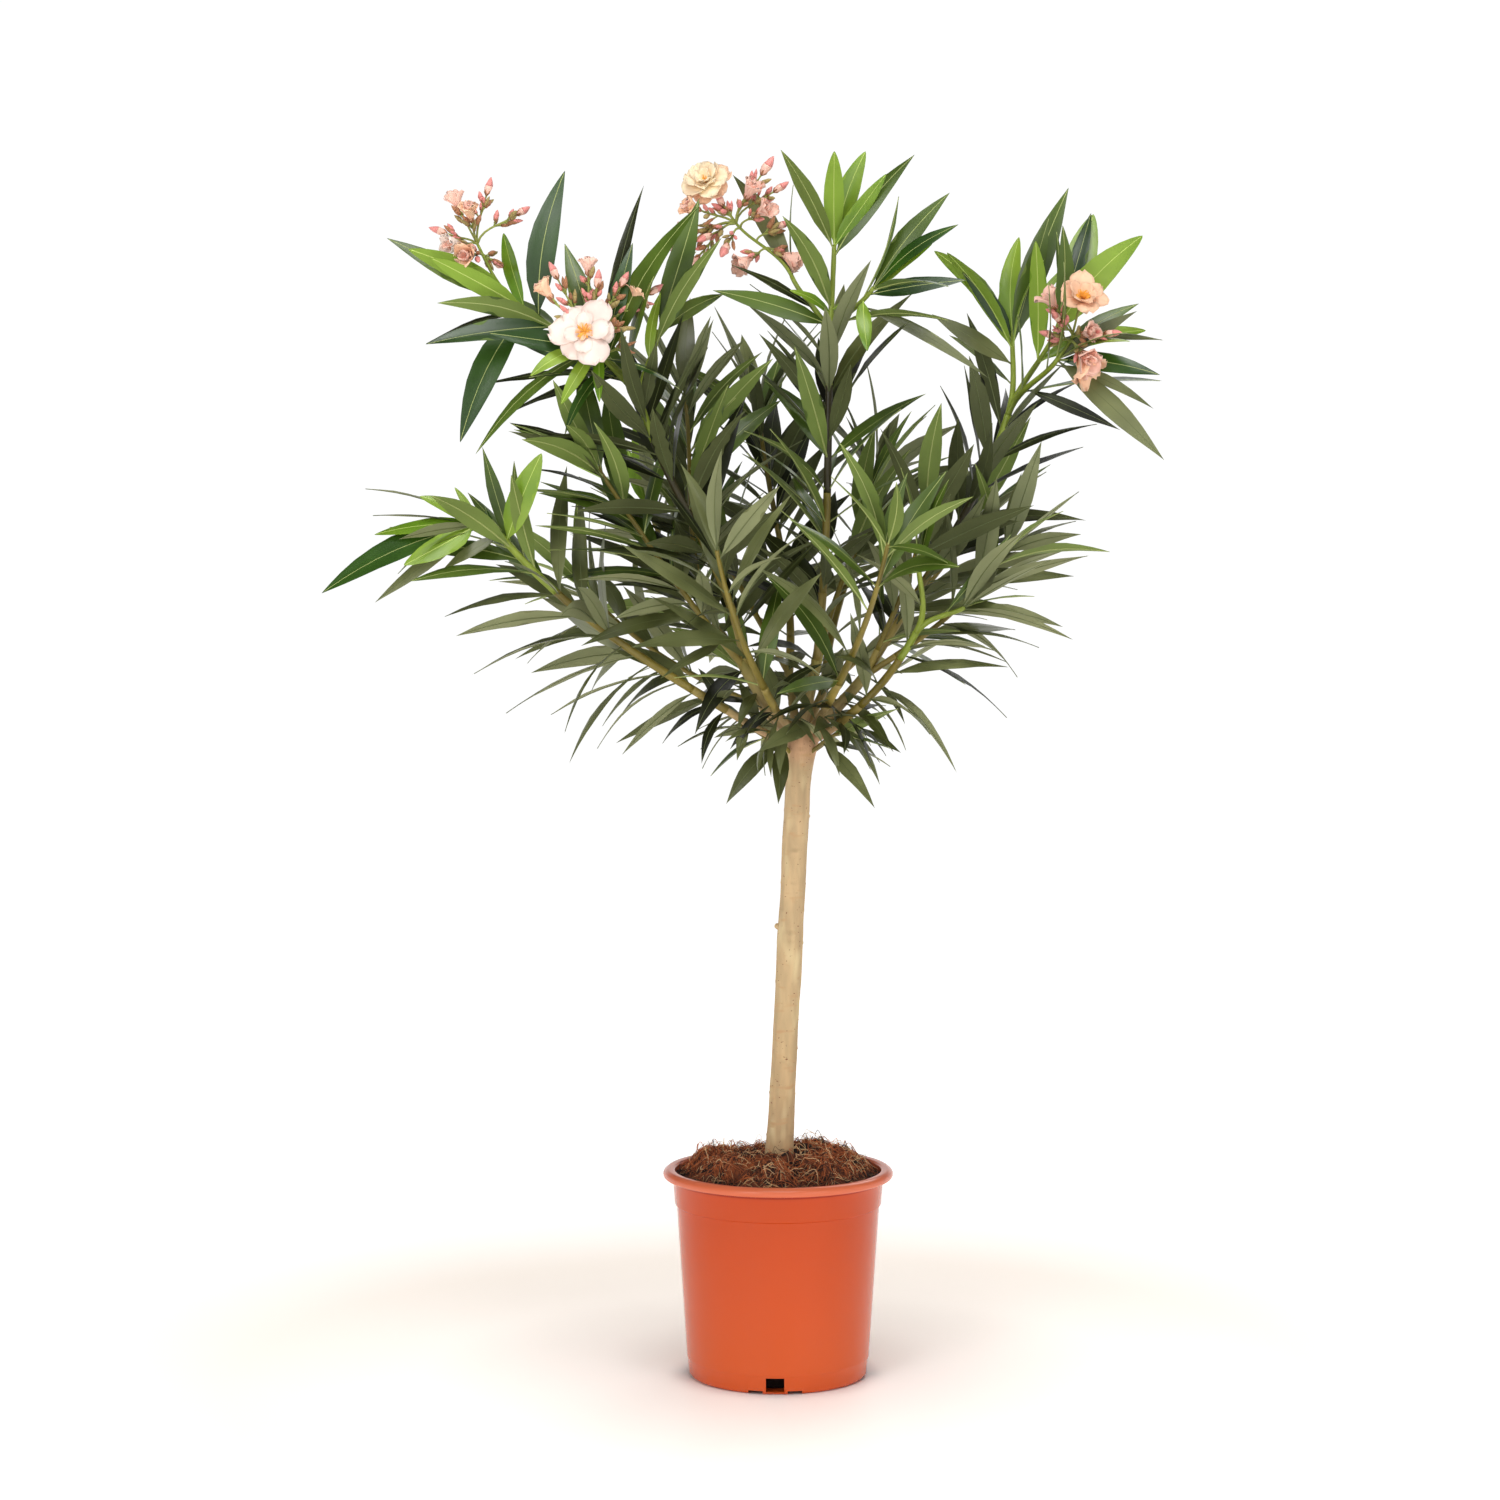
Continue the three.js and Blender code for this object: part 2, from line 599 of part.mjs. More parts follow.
function trunkSolid(grow) {
  const lean = HEAD_AT.clone().sub(FOOT_AT);
  const rings = TRUNK_RADII.map(([up, radius]) => {
    const raised = up > HEAD_AT.z - FOOT_AT.z ? up + grow : up;
    const centre = FOOT_AT.clone().addScaledVector(lean, raised / lean.z);
    return ringAt(centre, UP, new THREE.Vector3(1, 0, 0), radius + grow, TRUNK_SIDES);
  });
  const body = solidOf(loft(rings));
  const root = FOOT_AT.clone().addScaledVector(lean, STUB.up / lean.z);
  const way = new THREE.Vector3(Math.cos(STUB.side), Math.sin(STUB.side), 0.5).normalize();
  const tip = root.clone().addScaledVector(way, STUB.length + grow);
  return body.add(limb(new THREE.LineCurve3(root, tip), STUB.radius + grow, STUB.radius * 0.7 + grow, 5, 1));
}

addMesh("pot", potSolid(), MATERIALS.pot);
const soil = soilSolid();
addMesh("soil", soil, MATERIALS.soil);
occupy("soil", soil);
const trunk = trunkSolid(0);
addMesh("trunk", trunk, MATERIALS.bark);
occupy("trunk", trunk);
const aroundTrunk = trunkSolid(CLEAR);

// Boughs end pointing towards the shoots that they carry.
const tips = {};
for (const [name, bough] of Object.entries(BOUGHS)) {
  const at = new THREE.Vector3(...bough.tip);
  const carried = SHOOTS.filter((shoot) => shoot.bough === name);
  const onward = new THREE.Vector3();
  for (const shoot of carried) onward.add(new THREE.Vector3(...shoot.to).sub(at).normalize());
  const direction = onward.normalize().add(at.clone().sub(HEAD_AT).normalize()).normalize();
  const away = bearingVector(bough.bearing, bough.pitch);
  const reach = at.distanceTo(HEAD_AT);
  const curve = new THREE.CubicBezierCurve3(
    HEAD_AT.clone(),
    HEAD_AT.clone().addScaledVector(away, reach * 0.36),
    at.clone().addScaledVector(direction, -reach * 0.36),
    at,
  );
  const whole = limb(curve, bough.radius, bough.tipRadius, BOUGH_SIDES, stepsFor(curve) + 1);
  const solid = largestBody(whole.subtract(aroundTrunk));
  if (!isFree(`bough_${name}`, solid)) throw new Error(`bough ${name} touches something`);
  addMesh(`bough_${name}`, solid, MATERIALS.bough);
  occupy(`bough_${name}`, solid);
  tips[name] = { at, direction, radius: bough.tipRadius, axis: acrossAxis(direction), carried };
}

// The turn about a bough's tip at which a shoot lies.
function turnAbout(tip, shoot) {
  const { u, v } = frameAt(tip.direction, tip.axis);
  const way = new THREE.Vector3(...shoot.to).sub(tip.at);
  return Math.atan2(way.dot(v), way.dot(u));
}

// Where a shoot starts: clear of its bough's tip and spaced evenly round it beside its neighbours
// there, or inside the stem's skin, to be cut back from it.
function shootRoot(shoot) {
  if (!shoot.bough) {
    const lean = HEAD_AT.clone().sub(FOOT_AT);
    const at = FOOT_AT.clone().addScaledVector(lean, (shoot.height - FOOT_AT.z) / lean.z);
    return { at, direction: bearingVector(shoot.bearing, 8), radius: 2.2 };
  }
  const tip = tips[shoot.bough];
  const at = tip.at.clone().addScaledVector(tip.direction, CLEAR);
  if (tip.carried.length === 1) return { at, direction: tip.direction, radius: tip.radius };
  const order = [...tip.carried].sort((a, b) => turnAbout(tip, a) - turnAbout(tip, b));
  const turn = turnAbout(tip, order[0]) + (2 * Math.PI * order.indexOf(shoot)) / order.length;
  const { u, v } = frameAt(tip.direction, tip.axis);
  const aside = u.multiplyScalar(Math.cos(turn)).addScaledVector(v, Math.sin(turn));
  return {
    at: at.addScaledVector(aside, FORK.spread).addScaledVector(tip.direction, FORK.radius * FORK.tilt),
    direction: tip.direction.clone().addScaledVector(aside, FORK.tilt).normalize(),
    radius: FORK.radius,
  };
}

function addLine(mass, curve, { radius, tipRadius }, role, spec) {
  const axis = acrossAxis(curve.getPoint(1).sub(curve.getPoint(0)));
  const solid = limb(curve, radius, tipRadius, STEM_SIDES, stepsFor(curve));
  const seed = mass.seed + mass.lines.length * 1009;
  mass.solids.push(mass.shoot.bough ? solid : largestBody(solid.subtract(aroundTrunk)));
  mass.lines.push({ curve, axis, radius, tipRadius, role, spec, seed, phase: mass.phase });
}

// First every shoot's stems, so that leaves can keep clear of them, then the blossom and the long
// leaves, then the rest of the leaves.
const masses = SHOOTS.map((shoot, number) => {
  const seed = (number + 1) * 10007;
  const mass = { name: shoot.name, shoot, seed, phase: number * 1.3, solids: [], lines: [] };
  const root = shootRoot(shoot);
  const fork = new THREE.Vector3(...shoot.to);
  const curve = limbCurve(root.at, root.direction, fork, shoot.lift);
  const tipRadius = shoot.arms ? STEM_TIP_RADIUS.forked : STEM_TIP_RADIUS.plain;
  addLine(mass, curve, { radius: root.radius, tipRadius }, "stem", shoot);
  for (const arm of shoot.arms ?? []) {
    const end = new THREE.Vector3(...arm.to);
    const onward = curve.getTangent(1);
    const path = limbCurve(fork.clone().addScaledVector(onward, -2), onward, end, arm.lift);
    addLine(mass, path, ARM, "arm", arm);
    if (!arm.stalk) continue;
    const beyond = path.getTangent(1);
    const start = end.clone().addScaledVector(beyond, -2);
    const stalk = limbCurve(start, beyond, new THREE.Vector3(...arm.stalk), 0.2);
    addLine(mass, stalk, FLOWER_STALK, "stalk", arm);
  }
  for (const solid of mass.solids) {
    if (!isFree(mass.name, solid)) throw new Error(`a stem of ${mass.name} touches something`);
    occupy(mass.name, solid);
  }
  return mass;
});

const endsInCluster = (line) => line.spec.buds && line.role === (line.spec.stalk ? "stalk" : "arm");

for (const mass of masses)
  for (const line of mass.lines) {
    if (endsInCluster(line)) addCluster(mass, line);
    if (line.role !== "stalk") addReach(mass, line);
  }

for (const mass of masses) {
  const { shoot } = mass;
  const droop = shoot.droop ?? 0;
  for (const line of mass.lines.filter(({ role }) => role !== "stalk")) {
    const tuft = line.spec.arms || endsInCluster(line) ? 0 : TUFT_LEAVES;
    const style =
      line.role === "stem"
        ? { ...STEM_PITCH, whorl: shoot.whorl, leaf: shoot.leaf }
        : { ...ARM_PITCH, whorl: ARM.whorl, leaf: shoot.leaf * ARM.leafShare };
    dressStem(mass, line, { ...style, droop, tuft });
  }
  addMesh(`foliage_${mass.name}`, largestBody(Manifold.union(mass.solids)), MATERIALS.foliage);
}

export default group;
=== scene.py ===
"""Looks for the potted oleander: container, coir, bark, stems, leaves and blossom.

The limbs and leaves follow the same seeded rule as the solids, and the leaves that the solids
kept are found by their tips. Lengths are in millimetres until a mesh is made, then in metres.
"""

import math

import bpy
import numpy as np
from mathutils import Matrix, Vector, noise
from mathutils.kdtree import KDTree


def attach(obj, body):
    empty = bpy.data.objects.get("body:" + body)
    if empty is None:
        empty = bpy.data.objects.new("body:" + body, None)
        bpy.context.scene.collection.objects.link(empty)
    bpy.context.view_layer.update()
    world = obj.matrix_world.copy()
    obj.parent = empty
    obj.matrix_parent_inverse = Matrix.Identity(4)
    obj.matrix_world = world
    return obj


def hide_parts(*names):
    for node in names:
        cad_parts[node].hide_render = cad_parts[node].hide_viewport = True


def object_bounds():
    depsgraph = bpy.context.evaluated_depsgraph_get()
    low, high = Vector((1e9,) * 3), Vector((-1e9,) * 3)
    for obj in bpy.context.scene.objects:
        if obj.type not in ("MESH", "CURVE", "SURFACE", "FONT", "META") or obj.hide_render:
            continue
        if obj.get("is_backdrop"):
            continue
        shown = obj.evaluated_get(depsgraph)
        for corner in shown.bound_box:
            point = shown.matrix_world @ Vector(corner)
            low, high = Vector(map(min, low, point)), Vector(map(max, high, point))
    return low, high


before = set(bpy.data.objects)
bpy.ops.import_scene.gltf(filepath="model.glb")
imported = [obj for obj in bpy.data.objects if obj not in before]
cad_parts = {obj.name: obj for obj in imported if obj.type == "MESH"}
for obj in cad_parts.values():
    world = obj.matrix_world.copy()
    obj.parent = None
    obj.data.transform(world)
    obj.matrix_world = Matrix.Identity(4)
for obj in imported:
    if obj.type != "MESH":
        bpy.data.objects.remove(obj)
cad_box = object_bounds()

MM = 0.001
UP = np.array([0.0, 0.0, 1.0])
BACK = np.array([0.0, 1.0, 0.0])
WORD = 0xFFFFFFFF
BODY = "root"

# Container
RIM_RADIUS = 105
RIM_TOP = 190
LIP_HEIGHT = 8
LIP_ROUND = 3.6
WALL = 2.2
SHOULDER_RADIUS = 96
SHOULDER_LOW = RIM_TOP - 33
BODY_TOP_RADIUS = 92.5
BODY_LOW_RADIUS = 83
FOOT_RADIUS = 78.5
FOOT_HEIGHT = 17
FOOT_ROUND = 4.6
POT_SEGMENTS = 160
WINDOW = {"count": 4, "width": 16.5, "height": 13}
SLIT = {"width": 12.8, "height": 3.4, "sideways": 17.6}
DRAIN_TURN = -0.04

# Coir
SOIL_EDGE_Z = 184
SOIL_RISE = 14
SOIL_LUMP = 2.5
SOIL_SEGMENTS = 200
# Place, height and width of the larger rises and hollows
HUMPS = [
    (0, 0, 6, 30), (36, 18, 12, 24), (-62, 20, 4, 20), (-38, -62, -11, 16), (21, -60, -12, 17),
    (-9, -66, 3, 12),
]
FIBRES = {"coir_tan": 380, "coir_rust": 1100, "coir_dark": 560}
FIBRE_STEPS = 9

# How the room dims from its walls to its ceiling
CEILING = (0.17, 0.36, 1.03, 0.1)
# How brightly the floor glows at distances from the middle, none under the container
FLOOR_GLOW = [
    (0.082, 0, 0, 0), (0.1, 0.24, 0.22, 0.19), (0.2, 0.4, 0.345, 0.3), (0.33, 0.56, 0.49, 0.43),
    (0.5, 0.51, 0.43, 0.36), (0.8, 0.63, 0.6, 0.57), (2, 0.85, 0.85, 0.85),
]
FLOOR_RADIUS = 6
LAMP_SIZE = 1.4
LAMPS = [
    ("key", (-1.5, -2.6, 1.9), 26), ("fill", (1.9, -2.4, 1.5), 12), ("top", (0.1, -0.9, 2.9), 30),
    ("back", (0.9, 2.3, 2.4), 14),
]
CAMERA_AT = (-0.0256, -3.0, 0.75)
CAMERA_DOWN = 3.4
FOCAL, PHOTO_SIZE = 3316, 1500

# Stem of the standard
CLEAR = 0.38
SEAT_Z = 200
FOOT_AT = np.array([1.0, 0.0, SEAT_Z + CLEAR])
HEAD_AT = np.array([20.0, 0.0, 580.0])
TRUNK_RADII = [
    (0, 13.6), (12, 12.7), (45, 11.7), (150, 11.2), (206, 11.9), (214, 11.3), (345, 11.5),
    (362, 13.2), (379, 16.5), (389, 14.2), (394, 9.5), (396, 4),
]
STUB = {"up": 205, "side": math.pi, "length": 16, "radius": 3}
# Height above the foot, bearing and size of the swellings where side shoots were pruned
KNOTS = [(88, math.pi, 1.9), (205, math.pi, 2.4), (280, math.pi, 1.9), (312, -1.4, 1.2), (150, -1.0, 1.1)]

# Shoots, with the same numbers as the solids
FORK = {"spread": 3.6, "radius": 2.7, "tilt": 0.35}
ARM = {"radius": 2.2, "tip_radius": 1.5, "whorl": 34, "leaf_share": 0.9}
LEAF_TRIES = 4
LEAF_TURN_STEP = 0.35
LEAF_ROLL = 1.5
ROOT_DEPTH = 0.75
REACH_BEND = 0.1
TUFT_LEAVES = 4
GOLDEN_ANGLE = math.pi * (3 - math.sqrt(5))
SKIRT = {"lift": -0.3, "whorl": 40, "leaf": 72, "droop": 0.65, "leafy": 0.45, "wide": 1.3}
# Steps between the seeds of masses, stems and tries, and where the seeds of each kind start
SEEDS = {
    "mass": 10007, "stem": 1009, "try": 7919, "reach": 555, "more": 655, "tuft": 977, "finer": 50021,
    "flower": 301, "spray": 811, "fibres": 4242,
}

# How far a leaf's tip may lie from the solid's corner, in metres
TIP_WITHIN = 0.00005
# Leaves that point at the viewer more than this are left out, because they show as specks
AIMED_FORWARD = -0.88
FLOWERS_FACE = np.array([0.0, -1.2, 0.2])
# Finer leaves bend more, and hang below a height. Below the others, leaves turn olive.
FINER_BEND = 0.16
LOW_LEAVES = 700
LOW_CROWN = 720
LOW_ARMS = 790
# Size of the cells in which taken points are looked up
CELL = 12

# name: bearing, pitch, radius, radius at the tip, tip
BOUGHS = {
    "left": (178, 42, 6, 5, [-34, -30, 654]),
    "middle": (330, 82, 5.4, 4.8, [36, -10, 660]),
    "right": (12, 38, 5.4, 4.8, [84, 2, 646]),
    "low_left": (205, 2, 3.6, 3.2, [-54, -34, 614]),
    "back_left": (120, 58, 4.2, 3.8, [8, 38, 648]),
    "low_right": (340, 2, 4.2, 3.6, [62, -20, 603]),
    "back_right": (68, 36, 4.2, 3.8, [46, 40, 632]),
    "front_left": (248, 28, 3.8, 3.4, [-6, -42, 616]),
    "back_outer": (140, 15, 4.2, 3.8, [-20, 46, 614]),
    "front_right": (305, 33, 3.8, 3.4, [46, -48, 620]),
}


def shoot(bough, part, to, lift, whorl, leaf, **more):
    name = f"{bough or 'skirt'}_{part}"
    return {"name": name, "bough": bough, "to": to, "lift": lift, "whorl": whorl, "leaf": leaf, **more}


def arm(to, lift, leafy, **more):
    return {"to": to, "lift": lift, "leafy": leafy, **more}


# Arms of the leaders. "reach" has tips of leaves with their age, as the solids do. "more" has
# leaves of the scene alone: place along the arm, tip, age and width as a share of the length.
# "flowers" have middle, radius and style, and "sprays" middle and kind.
LEFT_ARMS = [
    arm(
        [-160, -112, 930], 0.3, 0.6,
        flowers=[(-168, -134, 940, 24, "flat")],
        more=[
            (0.95, -250, -130, 939, "deep", 0.2), (0.8, -86, -120, 891, "deep", 0.24),
            (0.7, -188, -120, 853, "deep", 0.17), (0.95, -265, -110, 838, "mid", 0.12),
            (0.98, -214, -140, 902, "young", 0.26), (0.97, -189, -140, 879, "young", 0.2),
            (0.9, -155, -135, 881, "young", 0.22), (0.6, -265, -40, 899, "dark", 0.08),
            (0.5, -249, -30, 870, "dark", 0.09), (0.75, -76, -100, 1057, "mid", 0.16),
            (0.85, -183, -80, 1023, "mid", 0.2), (0.8, -125, -60, 1077, "dark", 0.07),
            (0.8, -134, -90, 1022, "deep", 0.16),
        ],
        sprays=[
            (-200, -124, 975, "half"), (-194, -114, 992, "buds"), (-166, -110, 999, "half"),
            (-158, -116, 981, "buds"), (-137, -104, 985, "buds"), (-127, -104, 969, "open"),
            (-136, -124, 948, "spent"), (-132, -118, 930, "spent"), (-109, -90, 981, "buds"),
        ],
    ),
    arm(
        [-238, -60, 976], 0.1, 0.65, stalk=[-266, -54, 1022],
        reach=[
            (-344, -60, 1028, "mid"), (-283, -95, 850, "deep"), (-199, -70, 1085, "deep"),
            (-305, -120, 930, "deep"),
        ],
        more=[(0.85, -316, -20, 936, "dark", 0.07), (0.96, -300, -50, 1012, "young", 0.14)],
        sprays=[
            (-258, -54, 1066, "buds"), (-282, -50, 1054, "half"), (-270, -62, 1040, "half"),
            (-290, -54, 1031, "buds"), (-268, -68, 1012, "half"), (-256, -46, 1010, "buds"),
            (-230, -54, 1050, "buds"), (-276, -60, 1022, "half"),
        ],
    ),
    arm(
        [-106, -62, 946], 0.6, 0.6,
        reach=[(-79, -50, 1065, "mid")],
        more=[(0.6, -109, -70, 979, "young", 0.16)],
    ),
]
MIDDLE_ARMS = [
    arm(
        [50, 0, 1026], 0.8, 0.5,
        reach=[(71, 0, 1111, "young"), (117, -10, 1108, "mid")],
        more=[
            (0.98, 93, -20, 1089, "young", 0.19), (0.3, 10, -30, 984, "young", 0.2),
            (0.35, 63, -30, 975, "young", 0.2), (0.2, -58, -40, 983, "mid", 0.17),
        ],
    ),
    arm(
        [84, -40, 985], 0.1, 0.55,
        reach=[(147, -40, 1071, "mid"), (164, -60, 990, "deep"), (78, -64, 929, "young")],
        more=[(0.9, 134, -50, 1024, "young", 0.2), (0.7, 185, -60, 905, "olive", 0.08)],
    ),
    arm(
        [12, 0, 998], 0.2, 0.35, stalk=[-38, 8, 1046],
        flowers=[(-66, -4, 1084, 22, "ball")],
        reach=[(-38, 52, 1098, "olive")],
        more=[(0.5, -42, -30, 1007, "dark", 0.12)],
        sprays=[
            (-16, 4, 1090, "single"), (-4, 6, 1076, "buds"), (-30, 0, 1067, "half"),
            (-20, -6, 1053, "half"), (-47, 2, 1058, "buds"), (-72, -8, 1058, "half"),
            (-73, 0, 1040, "half"), (-84, 4, 1030, "half"), (-76, 6, 1015, "half"),
            (-44, -8, 1030, "single"), (-57, 0, 1038, "buds"), (-22, 0, 1017, "half"),
            (-2, 4, 1021, "half"), (-5, 8, 1041, "buds"),
        ],
    ),
]
RIGHT_ARMS = [
    arm(
        [214, 44, 952], 0.8, 0.55,
        reach=[(254, 40, 1084, "mid"), (170, 30, 1006, "deep")],
        more=[(0.85, 238, 20, 1055, "mid", 0.17), (0.6, 140, 20, 967, "olive", 0.19)],
    ),
    arm(
        [254, 10, 960], 0.8, 0.55,
        reach=[(286, 60, 1063, "young"), (323, 0, 1037, "young"), (348, 14, 942, "olive")],
        more=[(0.98, 284, 60, 1064, "deep", 0.14)],
    ),
    arm(
        [250, -20, 924], 0.2, 0.55, stalk=[262, -26, 942],
        flowers=[(270, -40, 978, 22, "cup"), (284, -48, 914, 15, "drop")],
        reach=[(344, -40, 835, "olive")],
        more=[
            (0.95, 319, -20, 967, "olive", 0.15), (0.97, 338, -40, 908, "deep", 0.2),
            (0.9, 334, -30, 879, "olive", 0.11), (0.4, 308, 0, 861, "dark", 0.12),
        ],
        sprays=[
            (247, -34, 968, "half"), (252, -38, 954, "buds"), (268, -34, 944, "half"),
            (286, -34, 945, "buds"), (253, -26, 941, "buds"), (268, -40, 930, "half"),
        ],
    ),
]
LOW_LEFT_ARMS = [
    arm(
        [-266, -96, 774], -0.2, 0.7,
        reach=[(-398, -110, 716, "deep"), (-353, -100, 766, "young"), (-313, -100, 800, "young")],
        more=[
            (0.98, -324, -135, 740, "young", 0.3), (0.9, -356, -80, 708, "olive", 0.12),
            (1.0, -281, -100, 808, "young", 0.2), (0.35, -256, -100, 790, "deep", 0.24),
            (0.1, -294, -110, 735, "olive", 0.19),
        ],
    ),
]
LOW_RIGHT_ARMS = [
    arm([164, -72, 702], 0, 0.8),
    arm([122, -92, 744], 0.5, 0.8),
]
SHOOTS = [
    shoot("left", "upper", [-120, -84, 876], 0.3, 30, 122, arms=LEFT_ARMS),
    shoot("left", "inner", [-84, -14, 890], 0.5, 32, 116),
    shoot("left", "outer", [-160, -78, 826], 0.1, 31, 116),
    shoot("middle", "leader", [46, -12, 935], 0.6, 30, 122, arms=MIDDLE_ARMS),
    shoot("middle", "back", [86, 84, 812], 0.5, 34, 114, leafy=0.75),
    shoot("right", "leader", [209, 30, 875], 0.6, 30, 120, arms=RIGHT_ARMS),
    shoot("right", "inner", [132, -34, 786], 0.6, 30, 114, leafy=0.74),
    shoot("right", "outer", [206, -8, 752], 0.4, 30, 112, leafy=0.8),
    shoot(
        "low_left", "leader", [-244, -88, 765], 0.3, 30, 116, reach=[(-208, -126, 838, "young")],
        arms=LOW_LEFT_ARMS,
    ),
    shoot("back_left", "leader", [-18, 96, 886], 0.6, 34, 118),
    shoot("back_left", "inner", [-92, 80, 845], 0.4, 34, 114),
    shoot("low_right", "leader", [122, -60, 680], 0.3, 30, 112, arms=LOW_RIGHT_ARMS),
    shoot("back_right", "leader", [96, 168, 828], 0.6, 34, 116, leafy=0.8),
    shoot("back_right", "outer", [188, 130, 785], 0.3, 34, 114, leafy=0.72),
    shoot("front_left", "leader", [-54, -165, 752], 0.5, 30, 108, leafy=0.6),
    shoot("back_outer", "leader", [-124, 186, 796], 0.5, 34, 114),
    shoot("back_outer", "low", [-178, 92, 716], 0.4, 34, 110),
    shoot("front_right", "leader", [92, -172, 758], 0.5, 30, 110, leafy=0.6),
]
SHOOTS += [
    shoot(None, part, to, bearing=bearing, height=height, **SKIRT) for part, to, bearing, height in [
        ("left", [-34, -6, 594], 176, 568), ("front", [-10, -36, 590], 226, 566),
        ("right", [54, -28, 588], 322, 566), ("side", [66, 18, 592], 20, 566),
        ("back", [24, 50, 590], 90, 566),
    ]
]
LEADERS = ("left_upper", "middle_leader", "right_leader")

# Colours as they show, red, green and blue up to 255
LEAF_TINTS = {
    "dark_a": (15, 18, 2), "dark_b": (42, 47, 15), "olive_a": (72, 78, 34), "olive_b": (116, 121, 76),
    "mid_a": (64, 85, 18), "mid_b": (84, 107, 32), "deep_a": (28, 58, 6), "deep_b": (46, 80, 12),
    "young_a": (98, 138, 14), "young_b": (134, 162, 48),
}
# Width beside the rule's, width of the leaves that reach out, and how blunt a blade ends
LEAF_FORMS = {
    "dark": (0.84, 0.13, 1.15), "olive": (0.88, 0.15, 1.1), "mid": (0.95, 0.18, 1.0),
    "deep": (0.98, 0.2, 0.9), "young": (1.14, 0.25, 0.7),
}
RIB_OF = {"olive": "dark", "mid": "old", "deep": "old"}
UNDER_TINTS = {
    "dark": (84, 90, 54), "olive": (130, 135, 96), "mid": (114, 132, 64), "deep": (96, 118, 58),
    "young": (138, 168, 60),
}
RIB_TINTS = {"dark": (98, 106, 62), "old": (168, 178, 106), "young": (192, 212, 108)}
STEM_TINTS = {
    "tan": (146, 128, 62), "olive": (120, 106, 38), "dark": (50, 44, 14), "green": (136, 152, 50),
}
BLOSSOM_TINTS = {
    "petals_blush": (252, 226, 214), "petals_peach": (250, 200, 164), "petals_cream": (255, 226, 190),
    "petals_gold": (246, 176, 62), "buds_salmon": (252, 199, 180), "buds_rose": (235, 146, 138),
    "buds_brown": (176, 120, 80), "buds_olive": (166, 146, 86), "calyces": (158, 104, 62),
    "flower_stalks": (150, 158, 72),
}
FIBRE_TINTS = {"coir_tan": (246, 196, 146), "coir_rust": (186, 100, 52), "coir_dark": (30, 10, 3)}
# Painted shade in the hollows of the coir: heights and tints, which run on from one to the next, darker
# the lower the coir lies
HOLLOW_PAINTED_SHADE_TINTS = [
    (181, (70, 50, 40)), (186, (150, 134, 120)), (191, (240, 235, 228)), (195, (255, 255, 255)),
]
# Painted light on the container: a painted highlight makes the lip palest, a painted shadow under the lip
# makes a thin dark line, and a painted reflection makes it paler towards its foot
POT_PAINTED_LIGHT_TINTS = [
    (20, (250, 206, 122)), (75, (243, 188, 96)), (125, (236, 174, 72)), (178.6, (230, 164, 60)),
    (179.4, (186, 96, 16)), (180.9, (186, 96, 16)), (181.5, (255, 255, 255)),
]
BARK_TINTS = [
    (195, (196, 160, 116)), (240, (210, 176, 130)), (330, (218, 187, 140)), (555, (214, 182, 138)),
    (568, (216, 172, 132)), (590, (208, 160, 122)),
]
BOUGH_TINTS = [
    (575, (216, 170, 132)), (592, (200, 168, 120)), (625, (176, 156, 96)), (660, (146, 136, 58)),
]


def vec(*values):
    return np.array(values, dtype=float)


def unit(v):
    return v / (np.linalg.norm(v) + 1e-12)


def linear(tint):
    """The linear colour, with full opacity, of a tint as it shows."""
    shares = [c / 255 for c in tint]
    return (*(c / 12.92 if c <= 0.04045 else ((c + 0.055) / 1.055) ** 2.4 for c in shares), 1.0)


def random_from(seed):
    """Repeatable random numbers from 0 to 1, the same as the solids use."""
    state = [seed & WORD]

    def draw():
        state[0] = (state[0] + 0x6D2B79F5) & WORD
        s = state[0]
        mixed = ((s ^ (s >> 15)) * (s | 1)) & WORD
        mixed ^= (mixed + (((mixed ^ (mixed >> 7)) * (mixed | 61)) & WORD)) & WORD
        return ((mixed ^ (mixed >> 14)) & WORD) / 4294967296

    return draw


def rotate(v, axis, angle):
    turned = v * math.cos(angle) + np.cross(axis, v) * math.sin(angle)
    return turned + axis * np.dot(axis, v) * (1 - math.cos(angle))


def bearing_vector(bearing, pitch):
    turn, rise = math.radians(bearing), math.radians(pitch)
    return vec(math.cos(turn) * math.cos(rise), math.sin(turn) * math.cos(rise), math.sin(rise))


class Curve:
    """A cubic limb curve, read the way that the solids read theirs."""

    def __init__(self, *points):
        self.points = [np.asarray(p, dtype=float) for p in points]

    def point(self, t):
        a, b, c, d = self.points
        k = 1 - t
        return k**3 * a + 3 * k * k * t * b + 3 * k * t * t * c + t**3 * d

    def tangent(self, t):
        return unit(self.point(min(t + 0.0001, 1)) - self.point(max(t - 0.0001, 0)))

    def length(self):
        steps = np.array([self.point(i / 200) for i in range(201)])
        return float(np.linalg.norm(np.diff(steps, axis=0), axis=1).sum())


def limb_curve(start, direction, end, lift):
    chord = end - start
    reach = np.linalg.norm(chord)
    arrive = unit(chord / reach + UP * lift)
    return Curve(start, start + direction * reach * 0.38, end - arrive * reach * 0.34, end)


def across_axis(direction):
    axis = np.zeros(3)
    axis[int(np.argmin(np.abs(direction)))] = 1
    return axis


def square(v, way):
    """The direction of that part of v that is square to another direction."""
    return unit(v - way * np.dot(v, way))


def frame_at(tangent, axis):
    u = square(axis, tangent)
    return u, np.cross(tangent, u)


def aside(way, turn, axis=None):
    """The direction square to another, at an angle round it."""
    u, v = frame_at(way, across_axis(way) if axis is None else axis)
    return u * math.cos(turn) + v * math.sin(turn)


def fan(angles, u, v):
    """Directions at angles from u towards v, one to a row."""
    return np.outer(np.cos(angles), u) + np.outer(np.sin(angles), v)


def circle(sides):
    return np.arange(sides) * 2 * math.pi / sides


# Meshes
skins = {}


